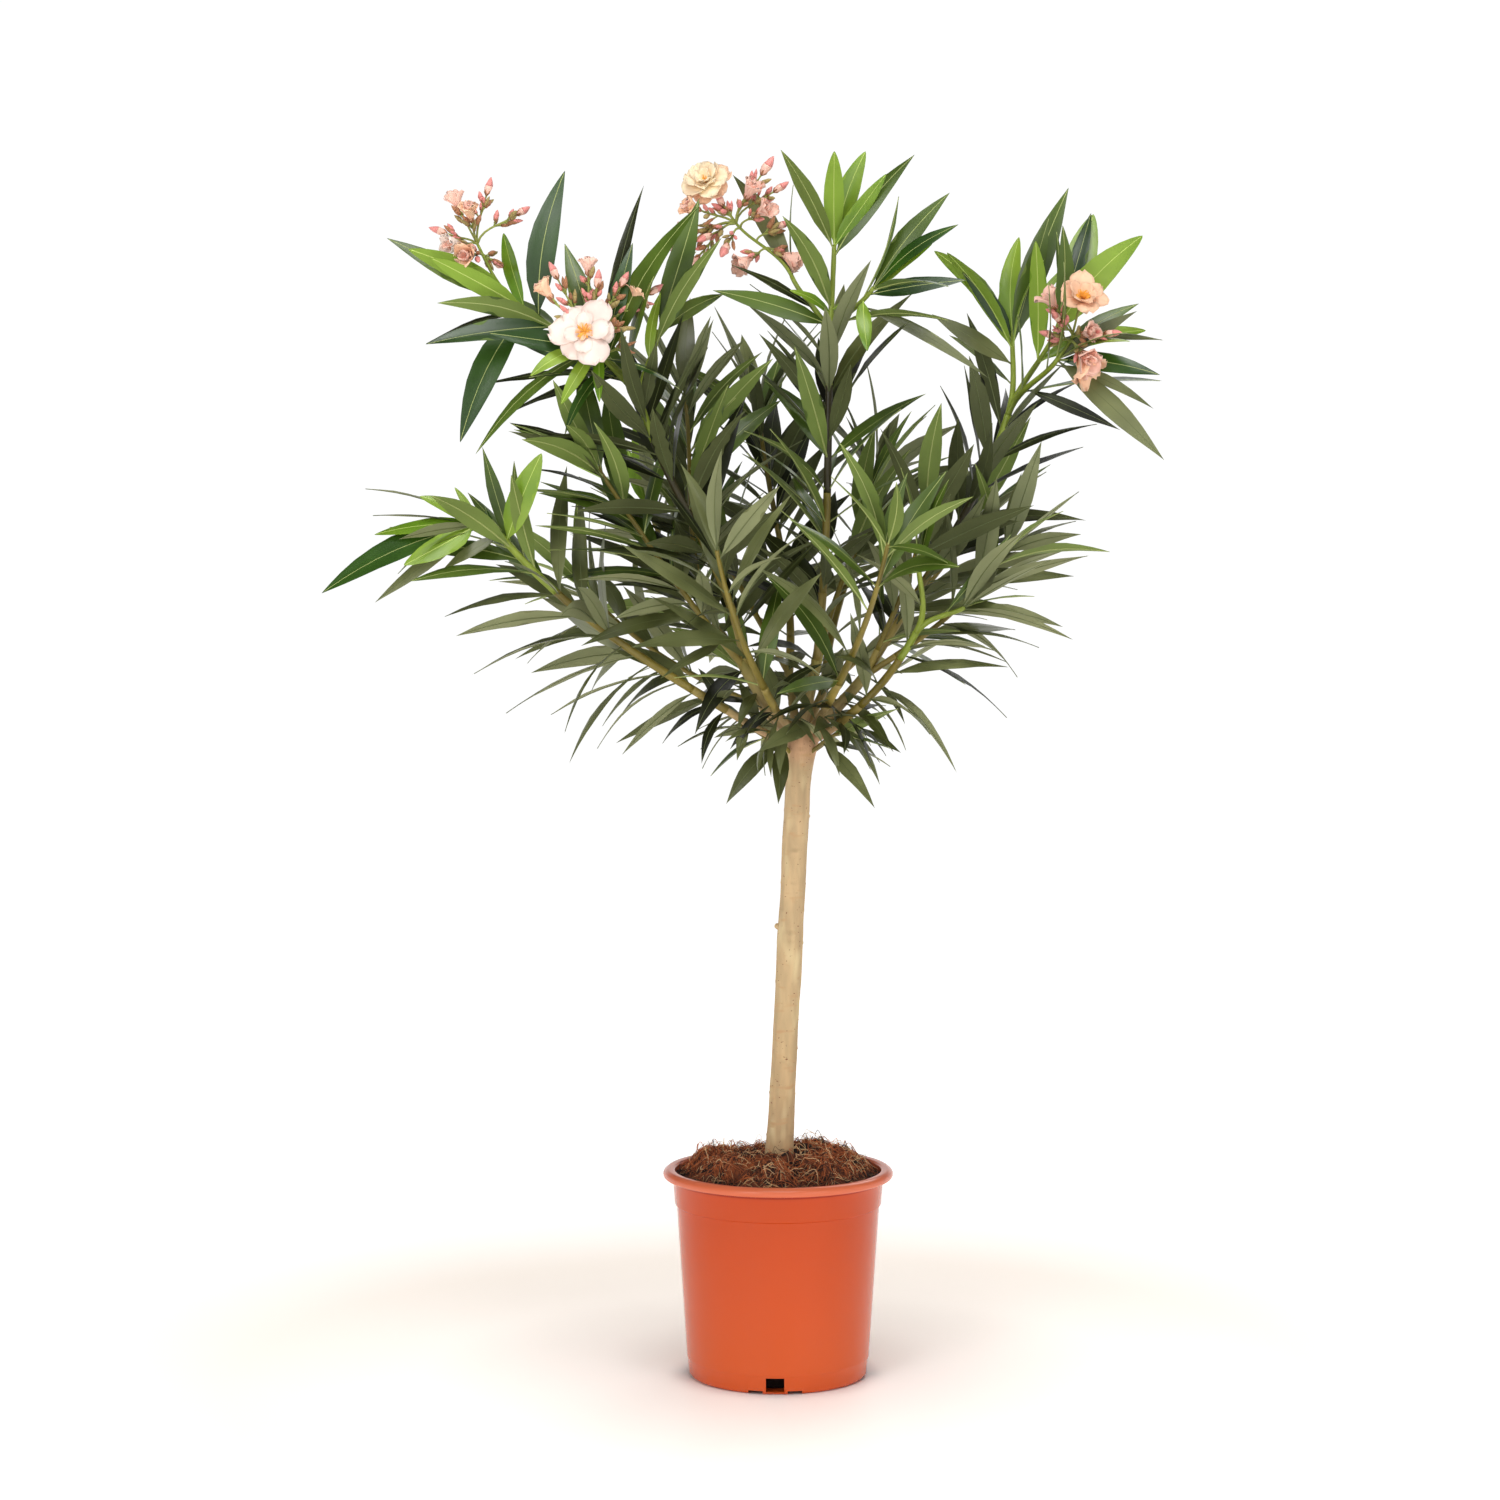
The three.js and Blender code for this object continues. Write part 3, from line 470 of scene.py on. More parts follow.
def add_faces(name, corners, faces, flip=False):
    """Adds faces to a piece, with corners numbered from 0."""
    points, own = skins.setdefault(name, ([], []))
    base = len(points)
    points.extend(np.asarray(corners, dtype=float).tolist())
    own.extend([base + i for i in (face[::-1] if flip else face)] for face in faces)


def grid_faces(rows, columns, closed=False):
    faces = []
    for r in range(rows - 1):
        for c in range(columns if closed else columns - 1):
            d = (c + 1) % columns
            faces.append((r * columns + c, r * columns + d, (r + 1) * columns + d, (r + 1) * columns + c))
    return faces


def add_grid(name, points, flip=False):
    add_faces(name, points.reshape(-1, 3), grid_faces(*points.shape[:2]), flip)


def add_rings(name, rings, flip=False):
    """A closed skin over rings of equal size, with both ends capped."""
    sides = len(rings[0])
    last = (len(rings) - 1) * sides
    ends = [range(sides)[::-1], range(last, last + sides)]
    add_faces(name, np.concatenate(rings), grid_faces(len(rings), sides, closed=True) + ends, flip)


def ring(centre, way, axis, radii, turns):
    return centre + np.reshape(radii, (-1, 1)) * fan(turns, *frame_at(way, axis))


def level_ring(radius, heights, segments):
    x, y = radius * np.cos(circle(segments)), radius * np.sin(circle(segments))
    return np.stack([x, y, np.broadcast_to(heights, segments)], axis=1)


def ways_along(centres):
    ways = np.gradient(centres, axis=0)
    return ways / (np.linalg.norm(ways, axis=1, keepdims=True) + 1e-12)


def add_tube(name, centres, radii, sides, axis=None):
    """A round tube along points with closed ends."""
    centres = np.asarray(centres, dtype=float)
    if axis is None:
        axis = across_axis(centres[-1] - centres[0])
    rows = zip(centres, ways_along(centres), np.broadcast_to(radii, len(centres)))
    add_rings(name, [ring(centre, way, axis, radius, circle(sides)) for centre, way, radius in rows])


def bent_grid(centres, across, lift, sides, uppers):
    """Rows of points: each centre moved along its own side and upper directions."""
    return centres[:, None] + across[:, :, None] * sides[:, None] + lift[:, :, None] * uppers[:, None]


def add_sheet(name, points, normals):
    """A thin closed sheet round a grid of points."""
    rows, columns = points.shape[:2]
    half = normals * PETAL_THICKNESS / 2
    size = rows * columns
    faces = grid_faces(rows, columns)
    faces += [tuple(size + i for i in face[::-1]) for face in faces]
    edge = [
        *range(0, size, columns), *range(size - columns + 1, size),
        *range(size - columns - 1, 0, -columns), *range(columns - 2, 0, -1),
    ]
    faces += [(i, j, size + j, size + i) for i, j in zip(edge, edge[1:] + edge[:1])]
    add_faces(name, np.concatenate([points + half, points - half]).reshape(-1, 3), faces)


# The limbs, worked out as the solids are
def plan_boughs():
    tips = {}
    for name, (bearing, pitch, radius, tip_radius, tip) in BOUGHS.items():
        at = vec(*tip)
        carried = [s for s in SHOOTS if s["bough"] == name]
        onward = sum(unit(vec(*s["to"]) - at) for s in carried)
        direction = unit(unit(onward) + unit(at - HEAD_AT))
        away = bearing_vector(bearing, pitch)
        reach = np.linalg.norm(at - HEAD_AT)
        curve = Curve(HEAD_AT, HEAD_AT + away * reach * 0.36, at - direction * reach * 0.36, at)
        tips[name] = {
            "at": at, "direction": direction, "base_radius": radius, "radius": tip_radius,
            "axis": across_axis(direction), "carried": carried, "curve": curve,
        }
    return tips


def turn_about(tip, one):
    u, v = frame_at(tip["direction"], tip["axis"])
    way = vec(*one["to"]) - tip["at"]
    return math.atan2(np.dot(way, v), np.dot(way, u))


def shoot_root(tips, one):
    """Where a mass starts, which way and how thick: at the trunk, at a tip or fanned out round it."""
    if one["bough"] is None:
        lean = HEAD_AT - FOOT_AT
        at = FOOT_AT + lean * (one["height"] - FOOT_AT[2]) / lean[2]
        return at, bearing_vector(one["bearing"], 8), 2.2
    tip = tips[one["bough"]]
    way, carried = tip["direction"], tip["carried"]
    at = tip["at"] + way * CLEAR
    if len(carried) == 1:
        return at, way, tip["radius"]
    order = sorted(carried, key=lambda s: turn_about(tip, s))
    outward = aside(way, turn_about(tip, order[0]) + 2 * math.pi * order.index(one) / len(order))
    start = at + outward * FORK["spread"] + way * FORK["radius"] * FORK["tilt"]
    return start, unit(way + outward * FORK["tilt"]), FORK["radius"]


def plan_mass(tips, number, one):
    """The stems of a mass: its own, then each arm and flower stalk."""
    lines = []

    def add_line(role, spec, curve, radius, tip_radius):
        lines.append({
            "role": role, "spec": spec, "curve": curve, "radius": radius, "tip_radius": tip_radius,
            "axis": across_axis(curve.point(1) - curve.point(0)), "length": curve.length(),
            "seed": (number + 1) * SEEDS["mass"] + len(lines) * SEEDS["stem"], "phase": number * 1.3,
            "shoot": one, "number": number * 10 + len(lines),
        })

    start, direction, radius = shoot_root(tips, one)
    fork = vec(*one["to"])
    curve = limb_curve(start, direction, fork, one["lift"])
    add_line("stem", one, curve, radius, 2.5 if "arms" in one else 1.6)
    onward = curve.tangent(1)
    for spec in one.get("arms", []):
        end = vec(*spec["to"])
        path = limb_curve(fork - onward * 2, onward, end, spec["lift"])
        add_line("arm", spec, path, ARM["radius"], ARM["tip_radius"])
        if "stalk" in spec:
            beyond = path.tangent(1)
            stalk = limb_curve(end - beyond * 2, beyond, vec(*spec["stalk"]), 0.2)
            add_line("stalk", spec, stalk, 1.7, 1.3)
    return lines


# The leaves' places
def leaf_pose(line, share, turn, pitch, length, droop, seed):
    random = random_from(seed)
    tangent = line["curve"].tangent(share)
    outward = aside(tangent, turn + (random() - 0.5) * 0.5, line["axis"])
    spread = pitch + (random() - 0.5) * 0.3
    thickness = line["radius"] + (line["tip_radius"] - line["radius"]) * share
    root = line["curve"].point(share) + outward * thickness * (1 - ROOT_DEPTH)
    along = unit(tangent * math.cos(spread) + outward * math.sin(spread) - UP * droop)
    face = rotate(square(tangent * 0.7 + UP * 0.5, along), along, (random() - 0.5) * LEAF_ROLL)
    full = length * (0.84 + 0.3 * random())
    return {
        "root": root, "along": along, "face": face, "sag": square(outward * 0.35 - UP, along),
        "length": full, "width": full * (0.165 + 0.04 * random()),
        "bend": 0.03 + 0.17 * random() * math.sin(spread), "seed": seed, "share": share,
    }


def reaching_pose(line, share, tip, age, width_share, seed):
    """A leaf whose tip lies at a point. It faces up and forwards, so that it shows broad."""
    random = random_from(seed)
    root = line["curve"].point(share)
    chord = vec(*tip) - root
    length = np.linalg.norm(chord)
    along = unit(chord + UP * REACH_BEND * length)
    face = square(UP * 0.6 - BACK * (0.5 + 0.6 * random()), along)
    return {
        "root": root, "along": along, "face": rotate(face, along, (random() - 0.5) * 0.7),
        "sag": square(-UP, along), "length": length, "width": length * width_share,
        "bend": REACH_BEND, "seed": seed, "share": 1, "age": age,
    }


def leaf_point(pose, s):
    bent = pose["along"] * s + pose["sag"] * pose["bend"] * s * s
    return pose["root"] + bent * pose["length"]


def corner_tree(node):
    """A lookup of a solid's corners, which tells the leaves that the solids kept."""
    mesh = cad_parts[node].data
    tree = KDTree(len(mesh.vertices))
    for i, vertex in enumerate(mesh.vertices):
        tree.insert(vertex.co, i)
    tree.balance()
    return tree


def is_kept(tree, point):
    return tree.find(Vector((point * MM).tolist()))[2] < TIP_WITHIN


# The crowd holds the points that limbs and leaves take up, in cells, so that finer leaves keep clear
def cell_of(point):
    return tuple(np.floor(point / CELL).astype(int))


def take(crowd, point, reach, owner):
    crowd.setdefault(cell_of(point), []).append((point, reach, owner))


def take_leaf(crowd, pose, owner):
    for s in np.linspace(0.25, 1, 9):
        take(crowd, leaf_point(pose, s), pose["width"] * 0.2 * math.sin(math.pi * min(s, 0.9)), owner)


def is_free(crowd, point, gap, owner):
    i, j, k = cell_of(point)
    beside = (-1, 0, 1)
    near = [(i + a, j + b, k + c) for a in beside for b in beside for c in beside]
    others = [other for cell in near for other in crowd.get(cell, ()) if other[2] != owner]
    return all(np.linalg.norm(at - point) >= gap + reach for at, reach, _ in others)


def fits(crowd, pose, gap, owner):
    """Whether there is room for a leaf, which then takes it up."""
    room = all(is_free(crowd, leaf_point(pose, s), gap, owner) for s in (0.3, 0.45, 0.6, 0.8, 1))
    if room:
        take_leaf(crowd, pose, owner)
    return room


def ends_in_cluster(line):
    return "sprays" in line["spec"] and line["role"] == ("stalk" if "stalk" in line["spec"] else "arm")


def stem_style(line):
    """Pitch of the leaves at the foot and at the tip, bare length, step and leaf length."""
    one = line["shoot"]
    if line["role"] == "stem":
        return 1.05, 0.65, 8, one["whorl"], one["leaf"]
    return 0.85, 0.5, 12, ARM["whorl"], one["leaf"] * ARM["leaf_share"]


def whorls(line, offset):
    """Places of leaves in threes: number of the whorl and of the leaf, share, turn and pitch."""
    low, high, bare, whorl, _ = stem_style(line)
    count = max(1, math.floor((line["length"] - bare) / whorl + 0.5))
    step = (line["length"] - bare) / count
    for i in range(count):
        share = min((bare + (i + 0.5 + offset) * step) / line["length"], 0.985)
        for k in range(3):
            turn = line["phase"] + ((i + offset) * math.pi) / 3 + (k * 2 * math.pi) / 3
            yield i, k, share, turn, low + (high - low) * share


def tries(line, share, turn, pitch, size, droop, seed):
    """Poses for one place, each turned a little further."""
    for attempt in range(LEAF_TRIES):
        own = seed + attempt * SEEDS["try"]
        yield leaf_pose(line, share, turn + attempt * LEAF_TURN_STEP, pitch, size, droop, own)


def plan_leaves(line, tree):
    """Every leaf of a stem that the solids have, and those given for the scene alone."""
    one, spec, seed, leaf = line["shoot"], line["spec"], line["seed"], stem_style(line)[4]
    leaves = []
    for i, (*tip, age) in enumerate(spec.get("reach", [])):
        width = LEAF_FORMS[age][1]
        leaves.append(reaching_pose(line, 0.97 - 0.09 * i, tip, age, width, seed + SEEDS["reach"] + i))
    for i, (share, *tip, age, width) in enumerate(spec.get("more", [])):
        leaves.append(reaching_pose(line, share, tip, age, width, seed + SEEDS["more"] + i))
    places = [
        (share, turn, pitch, leaf * (0.84 + 0.2 * math.sin(math.pi * share)), seed + i * 31 + k * 7)
        for i, k, share, turn, pitch in whorls(line, 0)
    ]
    tuft = 0 if "arms" in spec or ends_in_cluster(line) else TUFT_LEAVES
    for k in range(tuft):
        back, turn = tuft - k, line["phase"] + k * GOLDEN_ANGLE
        size = leaf * (0.98 - 0.05 * k)
        places.append((1 - 0.012 * back, turn, 0.2 + 0.12 * back, size, seed + SEEDS["tuft"] + k * 13))
    for *place, own in places:
        poses = tries(line, *place, one.get("droop", 0), own)
        pose = next((pose for pose in poses if is_kept(tree, leaf_point(pose, 1))), None)
        if pose is None or random_from(pose["seed"] + 5)() >= spec.get("leafy", 1):
            continue
        if pose["along"][1] > AIMED_FORWARD:
            pose["width"] *= one.get("wide", 1)
            leaves.append(pose)
    return leaves


def finer_share(line):
    """The share of the places between the whorls that is filled: less low in the crown."""
    if "leafy" in line["shoot"]:
        return 0.15
    x, y, z = line["curve"].point(0.5)
    extra = (0.36 if x < 60 else 0.16) * min(1, max(0, (z - 640) / 160))
    return 0.15 + extra + (0.16 if y > 30 and x < 60 else 0)


def plan_finer_leaves(line, crowd):
    """Whorls between those of the solids, where there is room for them."""
    leaves, filled, leaf = [], finer_share(line), stem_style(line)[4]
    droop = line["shoot"].get("droop", 0.4 if line["curve"].point(0.5)[2] < LOW_LEAVES else 0.08)
    for i, k, share, turn, pitch in whorls(line, 0.5):
        seed = line["seed"] + SEEDS["finer"] + i * 37 + k * 11
        if random_from(seed + 9)() > filled:
            continue
        size = leaf * (0.7 + 0.24 * math.sin(math.pi * share))
        for pose in tries(line, share, turn, pitch - 0.08, size, droop, seed):
            pose["bend"] += FINER_BEND if pose["root"][2] < LOW_LEAVES else 0
            if pose["along"][1] > AIMED_FORWARD and fits(crowd, pose, 0.6, line["number"]):
                leaves.append(pose)
                break
    return leaves


def plan_bough_leaves(bough, crowd, owner):
    """A few small leaves along a bough."""
    leaves = []
    line = {**bough, "radius": bough["base_radius"], "tip_radius": bough["radius"]}
    for i, share in enumerate(np.linspace(0.4, 1, 8)):
        for k in range(2):
            seed = owner * 131 + i * 17 + k * 5
            size = 42 + 38 * random_from(seed + 3)()
            pose = leaf_pose(line, share, i * 1.9 + k * math.pi, 1.0, size, 0.4, seed)
            pose["bend"] += FINER_BEND
            pose["width"] *= 1.35
            if random_from(seed + 9)() < 0.6 and fits(crowd, pose, 0.3, owner):
                leaves.append(pose)
    return leaves


# Leaves
LEAF_ROWS = 13
LEAF_ACROSS = np.array([-1, -0.55, 0, 0.55, 1])
LEAF_S = 0.5 - 0.5 * np.cos(np.linspace(0, math.pi, LEAF_ROWS))
PETIOLE_WIDTH = 0.09
SKIN = 0.22


def leaf_outline(slender):
    """Half-width shares of a lanceolate blade that narrows to a short petiole and a slender tip."""
    opening = np.clip(LEAF_S / 0.2, 0, 1)
    blade = opening**2 * (3 - 2 * opening) * np.sin(math.pi * LEAF_S**0.9).clip(0) ** slender
    return blade + PETIOLE_WIDTH * (1 - LEAF_S) ** 8 + 0.01


LEAF_OUTLINES = {age: leaf_outline(form[2]) for age, form in LEAF_FORMS.items()}


def add_leaf(kind, pose):
    """One blade as an upper and a lower skin that meet at the margin, with a raised midrib."""
    random = random_from(int(pose["seed"]) * 3 + 1)
    age = kind.split("_")[0]
    along, face, length, s, a = pose["along"], pose["face"], pose["length"], LEAF_S, LEAF_ACROSS
    side = unit(np.cross(along, face))
    width = pose["width"] * (1 if "age" in pose else LEAF_FORMS[age][0])
    outline = LEAF_OUTLINES[age]
    fold = 0.08 + 0.34 * random()
    arch = (0.01 + 0.05 * random()) * length
    ripple = (0.1 + 0.5 * random()) * (1 if random() > 0.5 else -1)
    waves = 1.5 + 1.5 * random()
    swing = (random() - 0.5) * 0.08 * length
    twist = (random() - 0.5) * 0.5 + (random() - 0.5) * 1.2 * s
    centre = pose["root"] + np.outer(s, along) * length
    centre += np.outer(s * s, pose["sag"]) * pose["bend"] * length
    centre += np.outer(np.sin(math.pi * s), side * swing + face * arch)
    half = outline * width / 2
    lift = fold * np.outer(half, np.abs(a)) - 0.2 * np.outer(half, a * a)
    lift += np.outer(np.sin(2 * math.pi * waves * s) * ripple * outline, a * np.abs(a))
    sides, uppers = fan(twist, side, face), fan(twist, face, -side)
    points = bent_grid(centre, np.outer(half, a), lift, sides, uppers)
    skin = SKIN * np.outer(1 - s**6, np.abs(a) < 1)[:, :, None] * uppers[:, None]
    add_grid(f"leaves_{kind}", points + skin)
    add_grid(f"undersides_{age}", points - skin, flip=True)
    rib = (0.95 - 0.6 * s)[:, None] * (0.4 + width / 32)
    above, below = 0.36 + 0.2 * (1 - s)[:, None], 0.4 + 0.6 * (1 - s)[:, None]
    corners = [sides * rib, uppers * above, -sides * rib, -uppers * below]
    rings = np.stack([centre + corner for corner in corners], axis=1)[:-1]
    add_rings(f"ribs_{RIB_OF.get(age, age)}", rings, flip=True)


def leaf_chances(line, pose):
    """How likely each age is: dark on the old leaders, olive low down, fresh towards the tips."""
    if "age" in pose:
        return {pose["age"]: 1}
    if "shoot" not in line:
        return {"olive": 0.55, "dark": 0.3, "mid": 0.15}
    height = pose["root"][2]
    if line["role"] == "arm":
        if height < LOW_ARMS:
            return {"young": 0.14, "mid": 0.36, "olive": 0.5}
        return {"young": 0.3, "mid": 0.4, "deep": 0.2, "olive": 0.1}
    if line["shoot"]["bough"] is None:
        return {"olive": 0.7, "mid": 0.3}
    if line["shoot"]["name"] in LEADERS:
        return {"dark": 0.8, "olive": 0.08, "mid": 0.12}
    if pose["share"] > 0.95:
        return {"mid": 0.6, "young": 0.14, "olive": 0.26}
    if height < LOW_CROWN:
        return {"olive": 0.52, "mid": 0.3, "dark": 0.18}
    return {"dark": 0.52, "olive": 0.24, "mid": 0.24}


def leaf_kind(line, pose):
    """The tint of a leaf: its age goes by its spray, and neighbours differ a little."""
    spray = int(pose["share"] * line.get("length", 60) / 45)
    draw = random_from(line.get("seed", 7) + spray * 101 + 71)()
    variant = "a" if random_from(int(pose["seed"]) + 71)() < 0.5 else "b"
    for age, chance in leaf_chances(line, pose).items():
        draw -= chance
        if draw <= 0:
            break
    return f"{age}_{variant}"


# Blossom
PETAL_THICKNESS = 0.35
# Whorls of a flower: piece, count, turn, length, width, angle at the foot, angle at the end, cup
FLOWER_STYLES = {
    "flat": [
        ("petals_blush", 6, 0.0, 1.28, 0.86, 0.36, -0.16, -0.08),
        ("petals_blush", 4, 0.63, 0.95, 0.8, 0.5, 0.05, 0.05),
        ("petals_peach", 5, 0.3, 0.42, 0.5, 0.75, 0.3, 0.1),
        ("petals_gold", 5, 0.9, 0.32, 0.3, 0.6, 0.2, 0.0),
    ],
    "ball": [
        ("petals_peach", 5, 0.0, 1.08, 1.0, 0.45, -0.6, 0.0),
        ("petals_cream", 5, 0.63, 1.05, 1.0, 0.8, -0.2, 0.2),
        ("petals_cream", 5, 0.2, 0.88, 0.95, 1.05, 0.3, 0.35),
        ("petals_cream", 4, 0.9, 0.62, 0.9, 1.3, 0.8, 0.45),
    ],
    "cup": [
        ("petals_peach", 6, 0.0, 1.2, 0.8, 0.8, 0.1, 0.1),
        ("petals_peach", 5, 0.63, 0.9, 0.7, 1.0, 0.5, 0.2),
        ("petals_gold", 5, 0.2, 0.5, 0.5, 1.0, 0.6, 0.2),
    ],
}
# Length, how much it varies, and thickness of the main bud of a spray
MAIN_BUDS = {"single": (29, 4, 4.2), "buds": (20, 5, 3.3)}


def add_petal(name, base, outward, facing, length, width, rise, end, cup, random):
    """A ruffled petal that starts at an angle and opens out to another."""
    rows = 9
    s, a = np.linspace(0, 1, rows), np.linspace(-1, 1, 7)
    angle = rise + (end - rise) * s**0.8
    step = fan(angle, outward, facing)
    middles = (step[1:] + step[:-1]) / 2 * length / (rows - 1)
    path = base + np.concatenate([np.zeros((1, 3)), np.cumsum(middles, axis=0)])
    normal = fan(angle, facing, -outward)
    growing = 0.2 + 0.8 * np.sin(np.clip(s / 0.66, 0, 1) * math.pi / 2) ** 1.3
    rounding = np.sqrt(np.clip(1 - (np.clip(s - 0.66, 0, 1) / 0.36) ** 2, 0.02, 1))
    half = width / 2 * growing * rounding
    waves, shift = 2.2 + 1.6 * random(), 6.28 * random()
    ruffle = 0.11 * length * np.outer(s**2, np.sin(waves * math.pi * a / 2 + shift) * np.abs(a) ** 0.5)
    lift = cup * np.outer(half, a**2) + ruffle
    points = bent_grid(path, np.outer(half, a), lift, np.cross(outward, facing)[None], normal)
    add_sheet(name, points, normal[:, None])


def add_petals(name, centre, facing, count, turn, form, random):
    reach, broad, rise, end, cup = form
    for i in range(count):
        outward = aside(facing, turn + 2 * math.pi * i / count + (random() - 0.5) * 0.3)
        length = reach * (0.84 + 0.28 * random())
        own = (rise + 0.15 * random(), end + 0.35 * (random() - 0.5), cup + 0.15 * (random() - 0.5))
        add_petal(name, centre, outward, facing, length, length * broad, *own, random)


def add_flower(root, centre, facing, radius, style, seed):
    """An open double flower: whorls of ruffled petals round a golden crown of threads."""
    random = random_from(seed)
    base = centre - facing * radius * (0.2 if style == "flat" else 0.36)
    add_tube("flower_stalks", [root, (root + base) / 2 + UP * 1.5, base + facing], [1.2, 1.0, 1.5], 6)
    spin = 6.28 * random()
    for number, (name, count, turn, length, *form) in enumerate(FLOWER_STYLES[style]):
        middle = base + facing * 1.1 * number
        add_petals(name, middle, facing, count, spin + turn, (radius * length, *form), random)
    spread = 1.8 if style == "flat" else 0.45
    start = base + facing * 2.5
    for i in range(10):
        way = unit(facing + aside(facing, i * GOLDEN_ANGLE) * spread * (0.5 + 0.8 * random()))
        reach = radius * (0.3 + 0.14 * random())
        thread = [start, start + way * reach * 0.6, start + way * reach]
        add_tube("petals_gold", thread, [0.8, 0.7, 0.25], 4)
    add_calyx(base - facing * 1.5, facing, 2.6, 6, random)


def add_calyx(base, way, radius, length, random):
    """Five narrow sepals that clasp the foot of a bud or flower."""
    for i in range(5):
        outward = aside(way, 2 * math.pi * i / 5 + random())
        middle = base + outward * radius * 0.95 + way * length * 0.5
        tip = base + outward * radius * 1.15 + way * length
        add_tube("calyces", [base, middle, tip], [radius * 0.35, radius * 0.36, 0.15], 4)


def add_bud(shades, root, way, reach, plump, seed):
    """A pointed bud, twisted like a furled umbrella, with its own shade low down and at its tip."""
    start, length = root + way * reach * 0.34, reach * 0.66
    add_tube("flower_stalks", [root, root + way * reach * 0.2, start], [0.9, 0.7, 1.0], 5)
    t = np.linspace(0, 1, 9)
    radii = plump * (np.sin(math.pi * np.clip(t * 0.93 + 0.05, 0, 1) ** 0.85) ** 0.8)
    ridges = 1 + 0.1 * np.cos(5 * circle(10))
    axis = across_axis(way)
    rings = [
        ring(start + way * length * share, way, axis, radius * ridges, circle(10) + share * 1.6)
        for share, radius in zip(t, radii)
    ]
    add_rings(shades[0], rings[:5])
    add_rings(shades[1], rings[4:])
    add_calyx(start - way * 0.8, way, plump * 0.72, length * 0.36, random_from(seed))


def add_half_open(root, way, reach, seed, shade=None):
    """A bud whose petals have begun to part, of a shade that the seed picks if none is given."""
    random = random_from(seed)
    start = root + way * reach * 0.2
    add_tube("flower_stalks", [root, root + way * reach * 0.12, start], [1.1, 0.9, 1.3], 5)
    draw = random()
    shade = shade or ("petals_peach" if draw < 0.4 else "buds_salmon" if draw < 0.9 else "petals_blush")
    spin = 6.28 * random()
    add_petals(shade, start, way, 5, spin, (reach * 0.78, 0.62, 1.25, 0.75, 0.45), random)
    add_petals("buds_salmon", start, way, 4, spin + 0.6, (reach * 0.7, 0.5, 1.42, 1.2, 0.6), random)
    add_calyx(start - way, way, 2.4, reach * 0.22, random)


def add_cluster(line):
    """The open flowers at a stem's end and the sprays of buds along its last part."""
    curve, spec = line["curve"], line["spec"]
    root = curve.point(1) - curve.tangent(1) * 2
    for number, (*middle, radius, style) in enumerate(spec.get("flowers", [])):
        way, seed = vec(*middle) - root, line["seed"] + SEEDS["flower"] + number
        if style == "drop":
            reach = np.linalg.norm(way) + radius / 3
            add_half_open(root, unit(way - UP * radius), reach, seed, "petals_peach")
        else:
            add_flower(root, vec(*middle), unit(unit(way) + FLOWERS_FACE), radius, style, seed)
    for number, (*middle, kind) in enumerate(spec["sprays"]):
        add_spray(curve, vec(*middle), kind, line["seed"] + SEEDS["spray"] + number * 17)


def add_spray(curve, middle, kind, seed):
    """A branchlet from the nearest part of the stalk, with one main bud and small ones beside it."""
    random = random_from(seed)
    share = min((0.5, 0.65, 0.8, 0.92, 1.0), key=lambda s: np.linalg.norm(curve.point(s) - middle))
    root = curve.point(share)
    branch = limb_curve(root, unit(curve.tangent(share) + unit(middle - root)), middle, 0.3)
    points = [branch.point(t) for t in np.linspace(0, 0.8, 7)]
    add_tube("flower_stalks", points, np.linspace(1.15, 0.85, 7), 6)
    tip, way = points[-1], branch.tangent(0.8)
    if kind == "half":
        add_half_open(tip, way, 24 + 7 * random(), seed + 1)
    elif kind == "open":
        add_flower(tip, middle + way * 4, way, 14, "cup", seed + 1)
    elif kind in MAIN_BUDS:
        reach, more, plump = MAIN_BUDS[kind]
        add_bud(("buds_salmon", "buds_rose"), tip, way, reach + more * random(), plump, seed + 1)
    for k in range(8 if kind in ("buds", "spent") else 5):
        outward = aside(way, k * GOLDEN_ANGLE + random())
        start = branch.point(0.45 + 0.33 * random())
        shade = "buds_olive" if random() < 0.35 else "buds_rose"
        if shade == "buds_rose" and (kind == "spent" or random() < 0.4):
            shade = "buds_brown"
        reach, plump = 10 + 9 * random(), 1.5 + 1.0 * random()
        onward = unit(way + outward * (0.4 + 0.7 * random()))
        add_bud((shade, shade), start, onward, reach, plump, seed + 2 + k)


# Stems
def stem_shades(line):
    """Shades along a stem, each with the share of the length at which it ends."""
    one = line["shoot"]
    if line["role"] != "stem":
        return [("green", 1)]
    if one["bough"] is None:
        return [("olive", 1)]
    if one["name"] in LEADERS:
        return [("tan", 0.18), ("olive", 0.5), ("dark", 0.86), ("green", 1)]
    if "arms" in one:
        return [("tan", 0.1), ("olive", 0.7), ("green", 1)]
    return [("tan", 0.1), ("olive", 1)]


